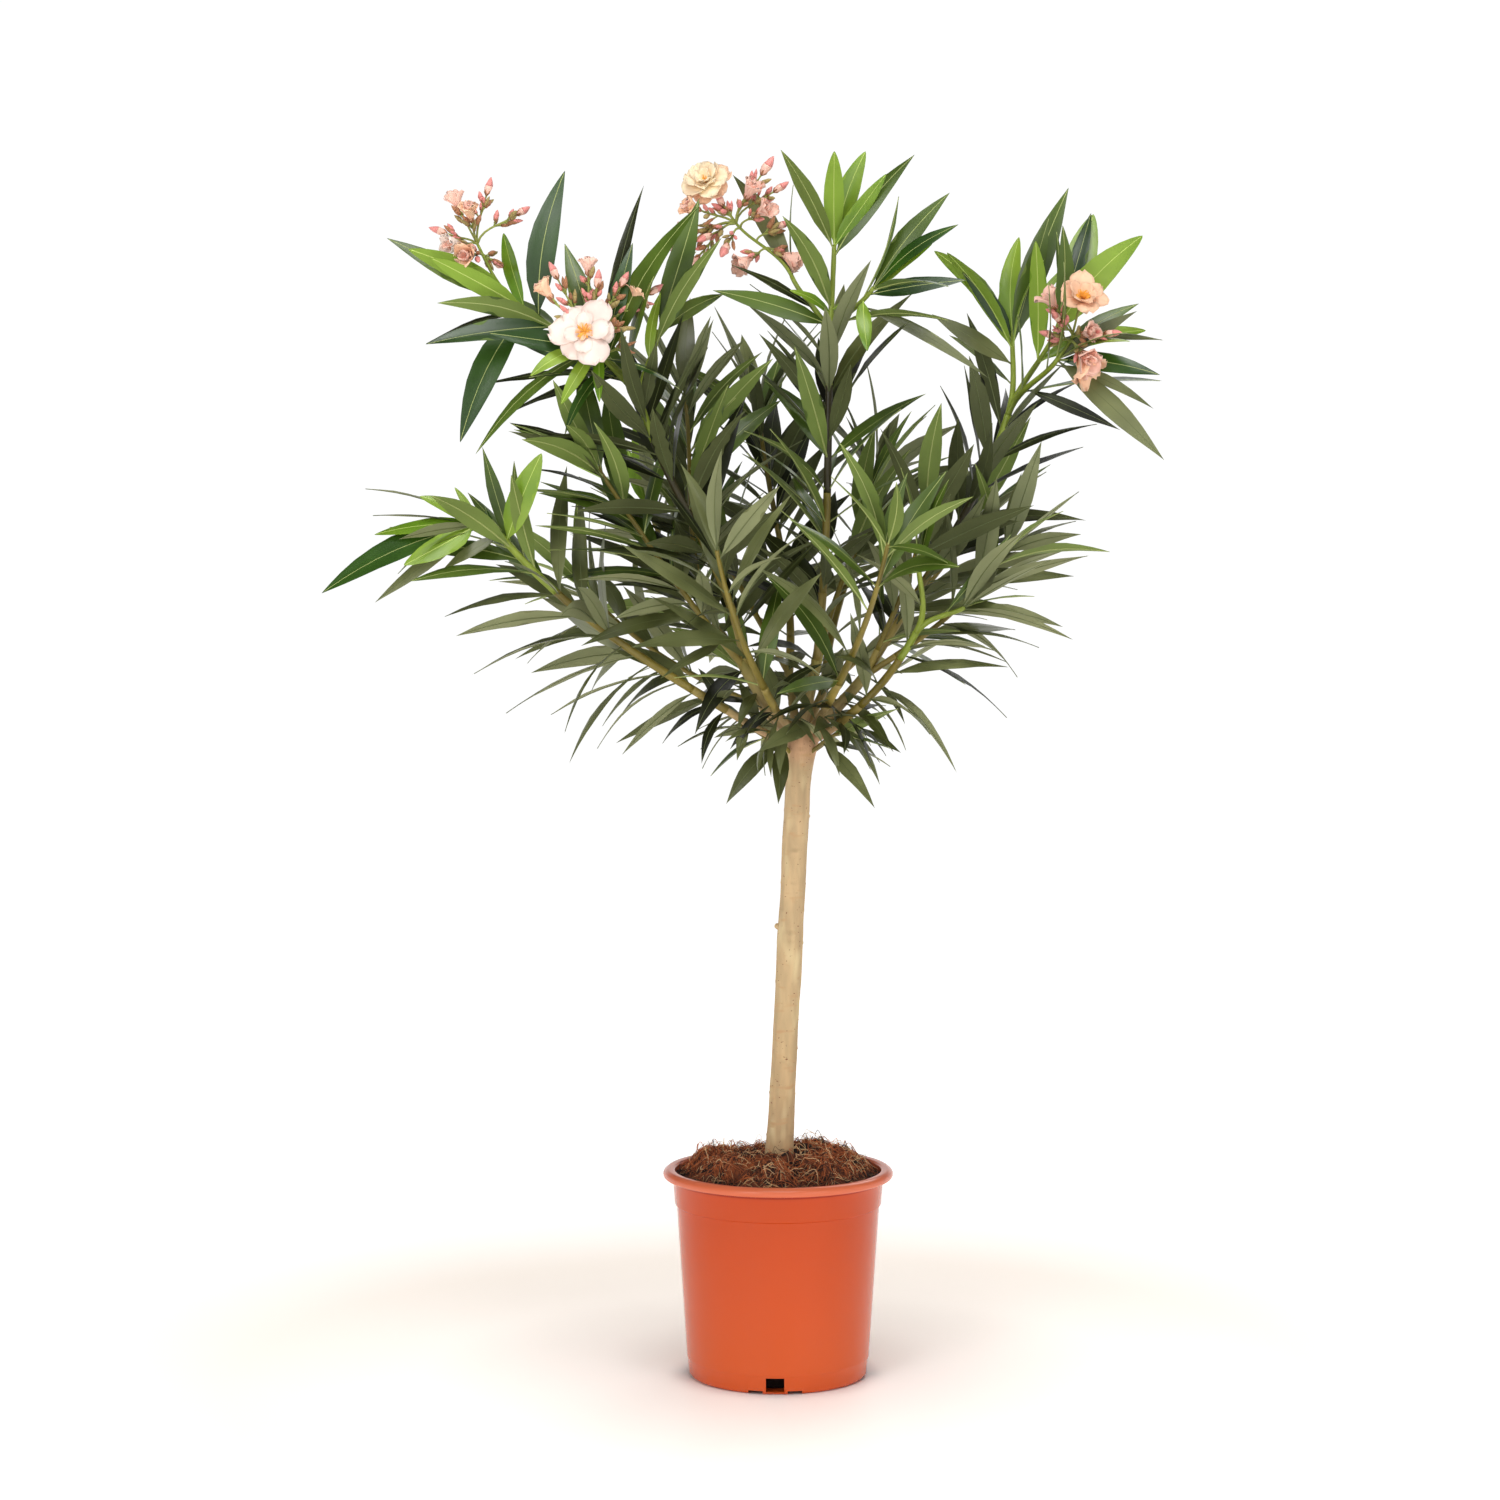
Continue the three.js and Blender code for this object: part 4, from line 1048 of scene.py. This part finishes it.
def add_stem(tips, line):
    """A stem in stretches of their own colour, thick where it leaves its bough."""
    one, role, length = line["shoot"], line["role"], line["length"]
    t = np.linspace(0, 1, max(8, int(length / 5)) + 1)
    centres = np.array([line["curve"].point(x) for x in t])
    foot, tip = line["radius"], line["tip_radius"]
    if role == "stem" and one["bough"]:
        foot = max(foot, 4.1 if one["name"].endswith(("leader", "upper")) else 3.1)
        tip = max(tip, 3.3 if "arms" in one else 1.8)
        inside = tips[one["bough"]]["at"] - tips[one["bough"]]["direction"] * 9
        centres, t = np.concatenate([[inside], centres]), np.concatenate([[-0.02], t])
    elif role == "arm":
        foot, tip = 3.1, 2.1
    swell = [1 + 0.07 * noise.noise(Vector((x * length / 14, line["seed"] % 97, 0))) for x in t]
    radii = (foot + (tip - foot) * t.clip(0, 1) ** 0.8) * swell
    first = 0
    for shade, end in stem_shades(line):
        last = int(np.searchsorted(t, end))
        if last > first:
            add_tube(f"stems_{shade}", centres[first:last + 1], radii[first:last + 1], 10, line["axis"])
        first = last


def bark_relief(up, turn, seed, height):
    """Fine lengthwise ridges and slow swellings of bark."""
    x, y = math.cos(turn), math.sin(turn)
    ridges = noise.noise(Vector((x * 6 + seed, y * 6, up / 38)))
    grain = noise.noise(Vector((x * 16 + seed, y * 16, up / 12)))
    slow = noise.noise(Vector((x * 1.3 + seed, y * 1.3, up / 45)))
    return height * (0.5 * ridges + 0.3 * grain + 1.1 * slow)


def leaf_scars(seed, length, spacing):
    """Old leaf scars in threes, each group turned a sixth on: height, turn and size."""
    random = random_from(seed)
    scars, up, group = [], spacing * 0.6, 0
    while up < length:
        for k in range(3):
            turn = group * math.pi / 3 + k * 2 * math.pi / 3 + (random() - 0.5) * 0.3
            scars.append((up + 3 * (random() - 0.5), turn, 0.6 + 0.7 * random()))
        up += spacing * (0.7 + 0.6 * random())
        group += 1
    return scars


def scar_height(scars, up, turn, radius):
    total = 0.0
    for at, side, size in scars:
        rise = up - at
        if abs(rise) > 6:
            continue
        apart = radius * ((turn - side + math.pi) % (2 * math.pi) - math.pi)
        total += size * math.exp(-((apart / 4.6) ** 2) - ((rise / 1.2) ** 2))
        total -= 0.5 * size * math.exp(-((apart / 1.6) ** 2) - (((rise - 2.6) / 1.3) ** 2))
    return total


def add_bark_limb(name, centres, radii, sides, seed, relief, scar_size, spacing, knots=()):
    """A limb with a skin of ridges, swellings and leaf scars."""
    steps = np.linalg.norm(np.diff(centres, axis=0), axis=1)
    ups = np.concatenate([[0], np.cumsum(steps)])
    axis = across_axis(centres[-1] - centres[0])
    scars = leaf_scars(seed, ups[-1], spacing) + list(knots)
    turns = circle(sides)
    rings = []
    for centre, way, radius, up in zip(centres, ways_along(centres), radii, ups):
        near = [scar for scar in scars if abs(up - scar[0]) < 6]
        own = [
            radius + (bark_relief(up, t, seed % 31, relief) + scar_size * scar_height(near, up, t, radius))
            for t in turns
        ]
        rings.append(ring(centre, way, axis, own, turns))
    add_rings(name, rings)


def add_trunk():
    lean = HEAD_AT - FOOT_AT
    ups = np.concatenate([np.arange(0, 386, 2.0), np.arange(386, 396.5, 1.0)])
    # Eased from ring to ring, as a grown stem is.
    stepped = np.interp(ups, *zip(*TRUNK_RADII))
    eased = np.convolve(np.pad(stepped, 4, mode="edge"), np.ones(9) / 9, mode="valid")
    blend = np.clip((376 - ups) / 12, 0, 1)
    radii = eased * blend + stepped * (1 - blend)
    centres = [FOOT_AT + lean * up / lean[2] for up in ups]
    add_bark_limb("trunk_bark", centres, radii, 64, 4, 0.7, 0.95, 34, KNOTS)
    root = FOOT_AT + lean * STUB["up"] / lean[2]
    way = unit(vec(math.cos(STUB["side"]), math.sin(STUB["side"]), 0.5))
    radii = STUB["radius"] * np.array([1.25, 1.1, 0.95, 0.8, 0.4])
    add_tube("trunk_bark", [root + way * STUB["length"] * s for s in (0, 0.55, 0.8, 0.94, 1)], radii, 12)


def add_boughs(tips):
    t = np.linspace(0, 1, 46)
    swelling = 1 + 0.35 * np.exp(-((t / 0.22) ** 2))
    for number, tip in enumerate(tips.values()):
        centres = [tip["curve"].point(x) for x in t]
        radii = (tip["base_radius"] + (tip["radius"] - tip["base_radius"]) * t) * swelling
        add_bark_limb("bough_bark", centres, radii, 24, 40 + number, 0.3, 0.5, 22)


# Container and coir
def arc(centre_r, centre_z, radius, start, end, steps):
    turns = np.radians(np.linspace(start, end, steps + 1))
    return [(centre_r + radius * math.cos(t), centre_z + radius * math.sin(t)) for t in turns]


def add_container():
    """A thin-walled container with a rolled lip, a step below it and a band above its foot."""
    lip_low, inside = RIM_TOP - LIP_HEIGHT, SHOULDER_RADIUS - WALL
    profile = [(0.5, 0), (FOOT_RADIUS - 1.5, 0)]
    profile += arc(FOOT_RADIUS - 1.5, FOOT_ROUND, FOOT_ROUND, -80, -18, 6)
    band = [(-0.55, -1.2), (-0.2, -0.4), (0.25, 0.5), (0.35, 2)]
    profile += [(BODY_LOW_RADIUS + out, FOOT_HEIGHT + up) for out, up in band]
    step = [(0, -0.4), (0.4, 0), (1.5, 0.7), (1.75, 1.6)]
    profile += [(BODY_TOP_RADIUS + out, SHOULDER_LOW + up) for out, up in step]
    profile += [(SHOULDER_RADIUS + out, lip_low + up) for out, up in [(0, -1.4), (0.6, -0.3), (1.6, 0)]]
    profile += arc(RIM_RADIUS - LIP_ROUND, lip_low + LIP_ROUND - 0.4, LIP_ROUND, -90, 62, 14)
    profile += [(RIM_RADIUS - 3.4, RIM_TOP - 0.4), (RIM_RADIUS - 5.6, RIM_TOP)]
    profile += arc(inside + 2.2, RIM_TOP - 2.6, 2.2, 80, 180, 7)
    profile += [
        (inside, lip_low), (BODY_TOP_RADIUS - WALL, SHOULDER_LOW), (BODY_LOW_RADIUS - WALL, FOOT_HEIGHT),
        (BODY_LOW_RADIUS - WALL - 3, WALL), (0.5, WALL),
    ]
    add_rings("container", [level_ring(radius, z, POT_SEGMENTS) for radius, z in profile])


def add_cutters():
    """Blocks for the drain windows and the thin slits beside them."""
    quads = [(0, 1, 3, 2), (4, 6, 7, 5), (0, 4, 5, 1), (2, 3, 7, 6), (0, 2, 6, 4), (1, 5, 7, 3)]
    wide, narrow = WINDOW["width"] / 2, SLIT["width"] / 2
    blocks = [((FOOT_RADIUS - 6, FOOT_RADIUS + 10), (-wide, wide), (WALL, WALL + WINDOW["height"]))]
    for y in (-SLIT["sideways"], SLIT["sideways"]):
        reach, height = (FOOT_RADIUS - 15, FOOT_RADIUS + 7), (-SLIT["height"], SLIT["height"])
        blocks.append((reach, (y - narrow, y + narrow), height))
    for i in range(WINDOW["count"]):
        turn = 2 * math.pi * i / WINDOW["count"] - math.pi / 2 + DRAIN_TURN
        cos, sin = math.cos(turn), math.sin(turn)
        for xs, ys, zs in blocks:
            corners = [(x * cos - y * sin, x * sin + y * cos, z) for x in xs for y in ys for z in zs]
            add_faces("cutters", corners, quads)


def lump_at(radius, turn):
    wave = math.sin(3 * turn + radius / 13) + math.cos(5 * turn - radius / 9) + math.sin(8 * turn + 2)
    return (SOIL_LUMP / 3) * wave


def soil_level(radius, turn):
    """Height of the coir: it rises from the wall, with humps, hollows, clods and crumbs."""
    x, y = radius * math.cos(turn), radius * math.sin(turn)
    rise = min(1.0, max(0.0, (93.5 - radius) / 30))
    level = SOIL_EDGE_Z + SOIL_RISE * rise * rise * (3 - 2 * rise)
    for across, back, height, width in HUMPS:
        level += height * math.exp(-((x - across) ** 2 + (y - back) ** 2) / width**2)
    rough = min(1.0, max(0.25, (94 - radius) / 12))
    clods = 6.0 * noise.noise(Vector((x / 12, y / 12, 3.1)))
    crumbs = 3.2 * noise.noise(Vector((x / 5, y / 5, 7.7)))
    grit = 1.1 * noise.noise(Vector((x / 2, y / 2, 1.3)))
    return level + rough * (lump_at(radius, turn) + clods + crumbs + grit)


def add_coir():
    sides = [
        (60, WALL + 0.4), (66, WALL + 0.5), (68, FOOT_HEIGHT), (80.8, FOOT_HEIGHT + 12),
        (89.9, SHOULDER_LOW), (93.4, SOIL_EDGE_Z - 4),
    ]
    turns = circle(SOIL_SEGMENTS)
    top = [(r, [soil_level(r, t) for t in turns]) for r in [*np.linspace(93.7, 12, 62), 8]]
    add_rings("coir_mound", [level_ring(r, z, SOIL_SEGMENTS) for r, z in sides + top])


def add_fibres():
    """Curled coir fibres that lie on the mound."""
    random = random_from(SEEDS["fibres"])
    for name, count in FIBRES.items():
        for _ in range(count):
            add_fibre(name, random)


def add_fibre(name, random):
    radius, turn = 14 + 78 * math.sqrt(random()), 2 * math.pi * random()
    length = 9 + 26 * random() ** 1.5
    heading, curl = 2 * math.pi * random(), (random() - 0.5) * 0.9
    thickness = 0.17 + 0.2 * random() ** 2
    arch = (0.6 + 8 * random() ** 3) if radius < 84 else 0.8
    x, y = radius * math.cos(turn), radius * math.sin(turn)
    centres = []
    for k in range(FIBRE_STEPS + 1):
        share = k / FIBRE_STEPS
        reach = math.hypot(x, y)
        held = min(max(reach, 13.5), 91) / reach
        x, y = x * held, y * held
        level = soil_level(math.hypot(x, y), math.atan2(y, x))
        wiggle = 0.25 * math.sin(share * 9 + heading)
        centres.append((x, y, level + 0.25 + wiggle + arch * math.sin(math.pi * share)))
        heading += curl + (random() - 0.5) * 0.35
        x += math.cos(heading) * length / FIBRE_STEPS
        y += math.sin(heading) * length / FIBRE_STEPS
    taper = thickness * (1 - 0.6 * np.abs(np.linspace(-1, 1, FIBRE_STEPS + 1)) ** 3)
    add_tube(name, centres, taper, 4, UP)


# Materials
def wire(tree, node, **inputs):
    """Sets a node's sockets to values, or links them to the sockets of other nodes."""
    for name, value in inputs.items():
        socket = node.inputs[name.replace("_", " ")]
        if isinstance(value, bpy.types.NodeSocket):
            tree.links.new(value, socket)
        else:
            socket.default_value = value


def add_node(tree, kind, **inputs):
    node = tree.nodes.new(f"ShaderNode{kind}")
    wire(tree, node, **inputs)
    return node


def place_in(tree, output="Object"):
    return add_node(tree, "TexCoord").outputs[output]


def add_pattern(tree, grain, detail):
    scale = np.broadcast_to(grain, 3).tolist()
    mapping = add_node(tree, "Mapping", Vector=place_in(tree), Scale=scale)
    texture = add_node(tree, "TexNoise", Vector=mapping.outputs["Vector"], Scale=1, Detail=detail)
    return texture.outputs["Fac"]


def add_range(tree, value, low, high, to_low=0.0, to_high=1.0):
    """A value carried over to another range."""
    ends = {"From_Min": low, "From_Max": high, "To_Min": to_low, "To_Max": to_high}
    return add_node(tree, "MapRange", Value=value, **ends).outputs["Result"]


def add_ramp(tree, value, stops):
    """Colours that run on from stop to stop as a value rises. Each stop is a value and a colour."""
    low, high = stops[0][0], stops[-1][0]
    ramp = add_node(tree, "ValToRGB", Fac=add_range(tree, value, low, high))
    elements = ramp.color_ramp.elements
    while len(elements) < len(stops):
        elements.new(0.5)
    for element, (at, colour) in zip(elements, stops):
        element.position = (at - low) / (high - low)
        element.color = colour
    return ramp.outputs["Color"]


def make_material(name, tint, roughness, vary=0.1, grain=30, bump=0.15, bump_grain=300, **sockets):
    """A procedural finish: a tint that wanders a little, uneven gloss and a fine bump."""
    material = bpy.data.materials.new(name)
    material.use_nodes = True
    tree = material.node_tree
    *colour, _ = linear(tint)
    pattern = add_pattern(tree, grain, 2)
    shades = [(at, (*(min(1, c * k) for c in colour), 1)) for at, k in ((0.3, 1 - vary), (0.7, 1 + vary))]
    relief = add_pattern(tree, bump_grain, 3)
    wire(
        tree, tree.nodes["Principled BSDF"], Base_Color=add_ramp(tree, pattern, shades),
        Roughness=add_range(tree, pattern, 0.2, 0.8, roughness - 0.07, roughness + 0.07),
        Normal=add_node(tree, "Bump", Strength=bump, Distance=0.0006, Height=relief).outputs["Normal"],
        **sockets,
    )
    return material


def blend_base(material, mode):
    """A blend over the base colour: its sockets for the factor and for the colour."""
    tree = material.node_tree
    base = tree.nodes["Principled BSDF"].inputs["Base Color"]
    mix = add_node(tree, "Mix")
    mix.data_type, mix.blend_type = "RGBA", mode
    tree.links.new(base.links[0].from_socket, mix.inputs[6])
    tree.links.new(mix.outputs[2], base)
    return mix.inputs[0], mix.inputs[7]


def add_patches(material, tint, grain, start, width):
    """Spots or soft patches of another tint where a pattern rises over a value."""
    tree = material.node_tree
    factor, colour = blend_base(material, "MIX")
    colour.default_value = linear(tint)
    tree.links.new(add_range(tree, add_pattern(tree, grain, 1), start, start + width), factor)


def add_height_tint(material, stops):
    """Lets the tint change with height, from stops of height in millimetres and tint."""
    tree = material.node_tree
    split = add_node(tree, "SeparateXYZ", Vector=place_in(tree))
    ramp = add_ramp(tree, split.outputs["Z"], [(height * MM, linear(tint)) for height, tint in stops])
    factor, colour = blend_base(material, "MULTIPLY")
    factor.default_value = 1
    tree.links.new(ramp, colour)


def add_object(name, data):
    thing = bpy.data.objects.new(name, data)
    bpy.context.collection.objects.link(thing)
    return thing


def make_mesh(name, material=None):
    points, faces = skins.pop(name)
    mesh = bpy.data.meshes.new(name)
    mesh.from_pydata((np.array(points) * MM).tolist(), [], faces)
    mesh.update()
    mesh.polygons.foreach_set("use_smooth", [True] * len(mesh.polygons))
    if material is not None:
        mesh.materials.append(material)
    return add_object(name, mesh)


def make_piece(name, material, nodes):
    piece = make_mesh(name, material)
    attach(piece, BODY)
    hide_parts(*nodes)
    return piece


def cut_container(pot):
    """Cuts the drain openings and keeps the cut edges crisp."""
    cutter = make_mesh("cutters")
    cut = pot.modifiers.new("drains", "BOOLEAN")
    cut.operation, cut.solver, cut.object = "DIFFERENCE", "EXACT", cutter
    drained = bpy.data.meshes.new_from_object(pot.evaluated_get(bpy.context.evaluated_depsgraph_get()))
    pot.modifiers.clear()
    pot.data = drained
    bpy.data.objects.remove(cutter)
    drained.polygons.foreach_set("use_smooth", [True] * len(drained.polygons))
    drained.set_sharp_from_angle(angle=math.radians(40))


def dress_container():
    plastic = make_material(
        "terracotta_plastic", (218, 110, 74), 0.2, vary=0.04, grain=(7, 7, 3), bump=0.05,
        bump_grain=(90, 90, 25), Specular_IOR_Level=0.38,
    )
    # Painted light: a highlight on the lip, a shadow under it, and a reflection that pales towards the
    # foot
    add_height_tint(plastic, POT_PAINTED_LIGHT_TINTS)
    pot = make_piece("container", plastic, ["pot"])
    cut_container(pot)


def dress_coir():
    coir = make_material("coir", (120, 60, 28), 0.9, vary=0.5, grain=160, bump=1.0, bump_grain=700)
    add_patches(coir, (30, 12, 4), 60, 0.44, 0.2)
    # Painted shade: the lower the coir lies, the darker it is
    add_height_tint(coir, HOLLOW_PAINTED_SHADE_TINTS)
    make_piece("coir_mound", coir, ["soil"])


def dress_fibres():
    for name, tint in FIBRE_TINTS.items():
        fibre = make_material(f"{name}_fibre", tint, 0.75, vary=0.2, grain=90)
        # Painted shade, so that fibres lying in the hollows are darker too
        add_height_tint(fibre, HOLLOW_PAINTED_SHADE_TINTS)
        make_piece(name, fibre, ["soil"])


def dress_trunk():
    bark = make_material(
        "bark", (235, 235, 235), 0.72, vary=0.14, grain=(120, 120, 26), bump=0.8,
        bump_grain=(700, 700, 200),
    )
    add_height_tint(bark, BARK_TINTS)
    add_patches(bark, (224, 202, 154), (90, 90, 30), 0.5, 0.3)
    add_patches(bark, (198, 158, 114), (60, 60, 170), 0.62, 0.16)
    add_patches(bark, (138, 92, 58), (330, 330, 520), 0.72, 0.03)
    make_piece("trunk_bark", bark, ["trunk"])


def dress_boughs(limbs):
    bark = make_material(
        "young_bark", (235, 235, 235), 0.62, vary=0.16, grain=(140, 140, 40), bump=0.6,
        bump_grain=(900, 900, 200),
    )
    add_height_tint(bark, BOUGH_TINTS)
    make_piece("bough_bark", bark, limbs)


def dress_group(tints, piece, finish, nodes, roughness, **form):
    for name, tint in tints.items():
        material = make_material(finish.format(name), tint, roughness, **form)
        make_piece(piece.format(name), material, nodes)


def dress_stems(nodes):
    grain = {"grain": (70, 70, 30), "bump_grain": (700, 700, 200)}
    dress_group(STEM_TINTS, "stems_{}", "stem_{}", nodes, 0.45, vary=0.2, bump=0.3, **grain)


def dress_leaves(nodes):
    for name, tint in LEAF_TINTS.items():
        age, variant = name.split("_")
        gloss = 0.34 if age == "dark" else 0.55
        leaf = make_material(
            f"leaf_{name}", tint, 0.36, vary=0.2, bump=0.18, bump_grain=420, Specular_IOR_Level=gloss,
        )
        add_patches(leaf, LEAF_TINTS[f"{age}_{'b' if variant == 'a' else 'a'}"], 16, 0.42, 0.3)
        make_piece(f"leaves_{name}", leaf, nodes)


def dress_undersides(nodes):
    form = {"vary": 0.12, "grain": 20, "bump": 0.25, "bump_grain": 500, "Specular_IOR_Level": 0.25}
    dress_group(UNDER_TINTS, "undersides_{}", "underside_{}", nodes, 0.6, **form)


def dress_ribs(nodes):
    dress_group(RIB_TINTS, "ribs_{}", "rib_{}", nodes, 0.5, vary=0.08)


def dress_blossom(nodes):
    dress_group(BLOSSOM_TINTS, "{}", "{}_finish", nodes, 0.55, grain=60, bump=0.2, Sheen_Weight=0.15)


def make_stage():
    """A round white floor, lit up a little more the further out it is, so that it has no edge."""
    mesh = bpy.data.meshes.new("floor")
    mesh.from_pydata(level_ring(FLOOR_RADIUS, 0, 96).tolist(), [], [range(96)])
    material = make_material("floor_paper", (252, 251, 249), 0.5, vary=0.0, bump=0.0)
    tree = material.node_tree
    away = add_node(tree, "VectorMath", Vector=place_in(tree))
    away.operation = "LENGTH"
    glow = add_ramp(tree, away.outputs["Value"], [(at, (*shade, 1)) for at, *shade in FLOOR_GLOW])
    wire(tree, tree.nodes["Principled BSDF"], Emission_Color=glow, Emission_Strength=1)
    mesh.materials.append(material)
    floor = add_object("floor", mesh)
    floor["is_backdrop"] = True


def make_lights():
    """Soft lamps round the plant in a white room that is dimmer overhead."""
    for name, at, power in LAMPS:
        lamp = bpy.data.lights.new(name, "AREA")
        lamp.shape, lamp.size, lamp.energy = "DISK", LAMP_SIZE, power
        light = add_object(name, lamp)
        light.location = at
        light.rotation_euler = (Vector((0, 0, 0.6)) - Vector(at)).to_track_quat("-Z", "Y").to_euler()
    world = bpy.data.worlds.new("studio")
    world.use_nodes = True
    tree = world.node_tree
    split = add_node(tree, "SeparateXYZ", Vector=place_in(tree, "Generated"))
    strength = add_range(tree, split.outputs["Z"], *CEILING)
    wire(tree, tree.nodes["Background"], Color=(1, 1, 1, 1), Strength=strength)
    bpy.context.scene.world = world


def make_camera():
    lens = bpy.data.cameras.new("camera")
    lens.sensor_width = 36
    lens.lens = FOCAL / PHOTO_SIZE * lens.sensor_width
    camera = add_object("camera", lens)
    camera.location = CAMERA_AT
    camera.rotation_euler = (math.radians(90 - CAMERA_DOWN), 0, 0)
    bpy.context.scene.camera = camera
    bpy.context.scene.view_settings.view_transform = "Standard"


def crowd_of_limbs(tips, lines):
    """Points taken by the limbs, with room round them."""
    crowd = {}
    for bough in tips.values():
        for share in np.linspace(0, 1, 20):
            take(crowd, bough["curve"].point(share), bough["base_radius"] + 2, -1)
    for line in lines:
        for share in np.linspace(0, 1, int(line["length"] / 6) + 2):
            take(crowd, line["curve"].point(share), 3.5, line["number"])
    return crowd


def add_masses(tips, masses):
    """Stems and blossom of every mass, and the leaves that its solid kept."""
    planned = []
    for mass in masses:
        tree = corner_tree(f"foliage_{mass[0]['shoot']['name']}")
        for line in mass:
            add_stem(tips, line)
            if ends_in_cluster(line):
                add_cluster(line)
            if line["role"] != "stalk":
                planned += [(line, pose) for pose in plan_leaves(line, tree)]
    return planned


def add_foliage(tips):
    """All masses, with finer leaves where those of the solids leave room."""
    masses = [plan_mass(tips, number, one) for number, one in enumerate(SHOOTS)]
    lines = [line for mass in masses for line in mass]
    crowd = crowd_of_limbs(tips, lines)
    planned = add_masses(tips, masses)
    for line, pose in planned:
        take_leaf(crowd, pose, line["number"])
    for line in lines:
        if line["role"] == "stem":
            planned += [(line, pose) for pose in plan_finer_leaves(line, crowd)]
    for number, bough in enumerate(tips.values()):
        planned += [(bough, pose) for pose in plan_bough_leaves(bough, crowd, 900 + number)]
    for line, pose in planned:
        add_leaf(leaf_kind(line, pose), pose)


def dress_all():
    foliage = [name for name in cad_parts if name.startswith("foliage_")]
    dress_container()
    dress_coir()
    dress_fibres()
    dress_trunk()
    dress_boughs([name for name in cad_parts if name.startswith("bough_")])
    for dress in (dress_stems, dress_leaves, dress_undersides, dress_ribs, dress_blossom):
        dress(foliage)


boughs = plan_boughs()
add_container()
add_cutters()
add_coir()
add_fibres()
add_trunk()
add_boughs(boughs)
add_foliage(boughs)
dress_all()
make_stage()
make_lights()
make_camera()
boxes = {"cad": cad_box, "visual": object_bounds()}
{name: [list(corner) for corner in box] for name, box in boxes.items()}
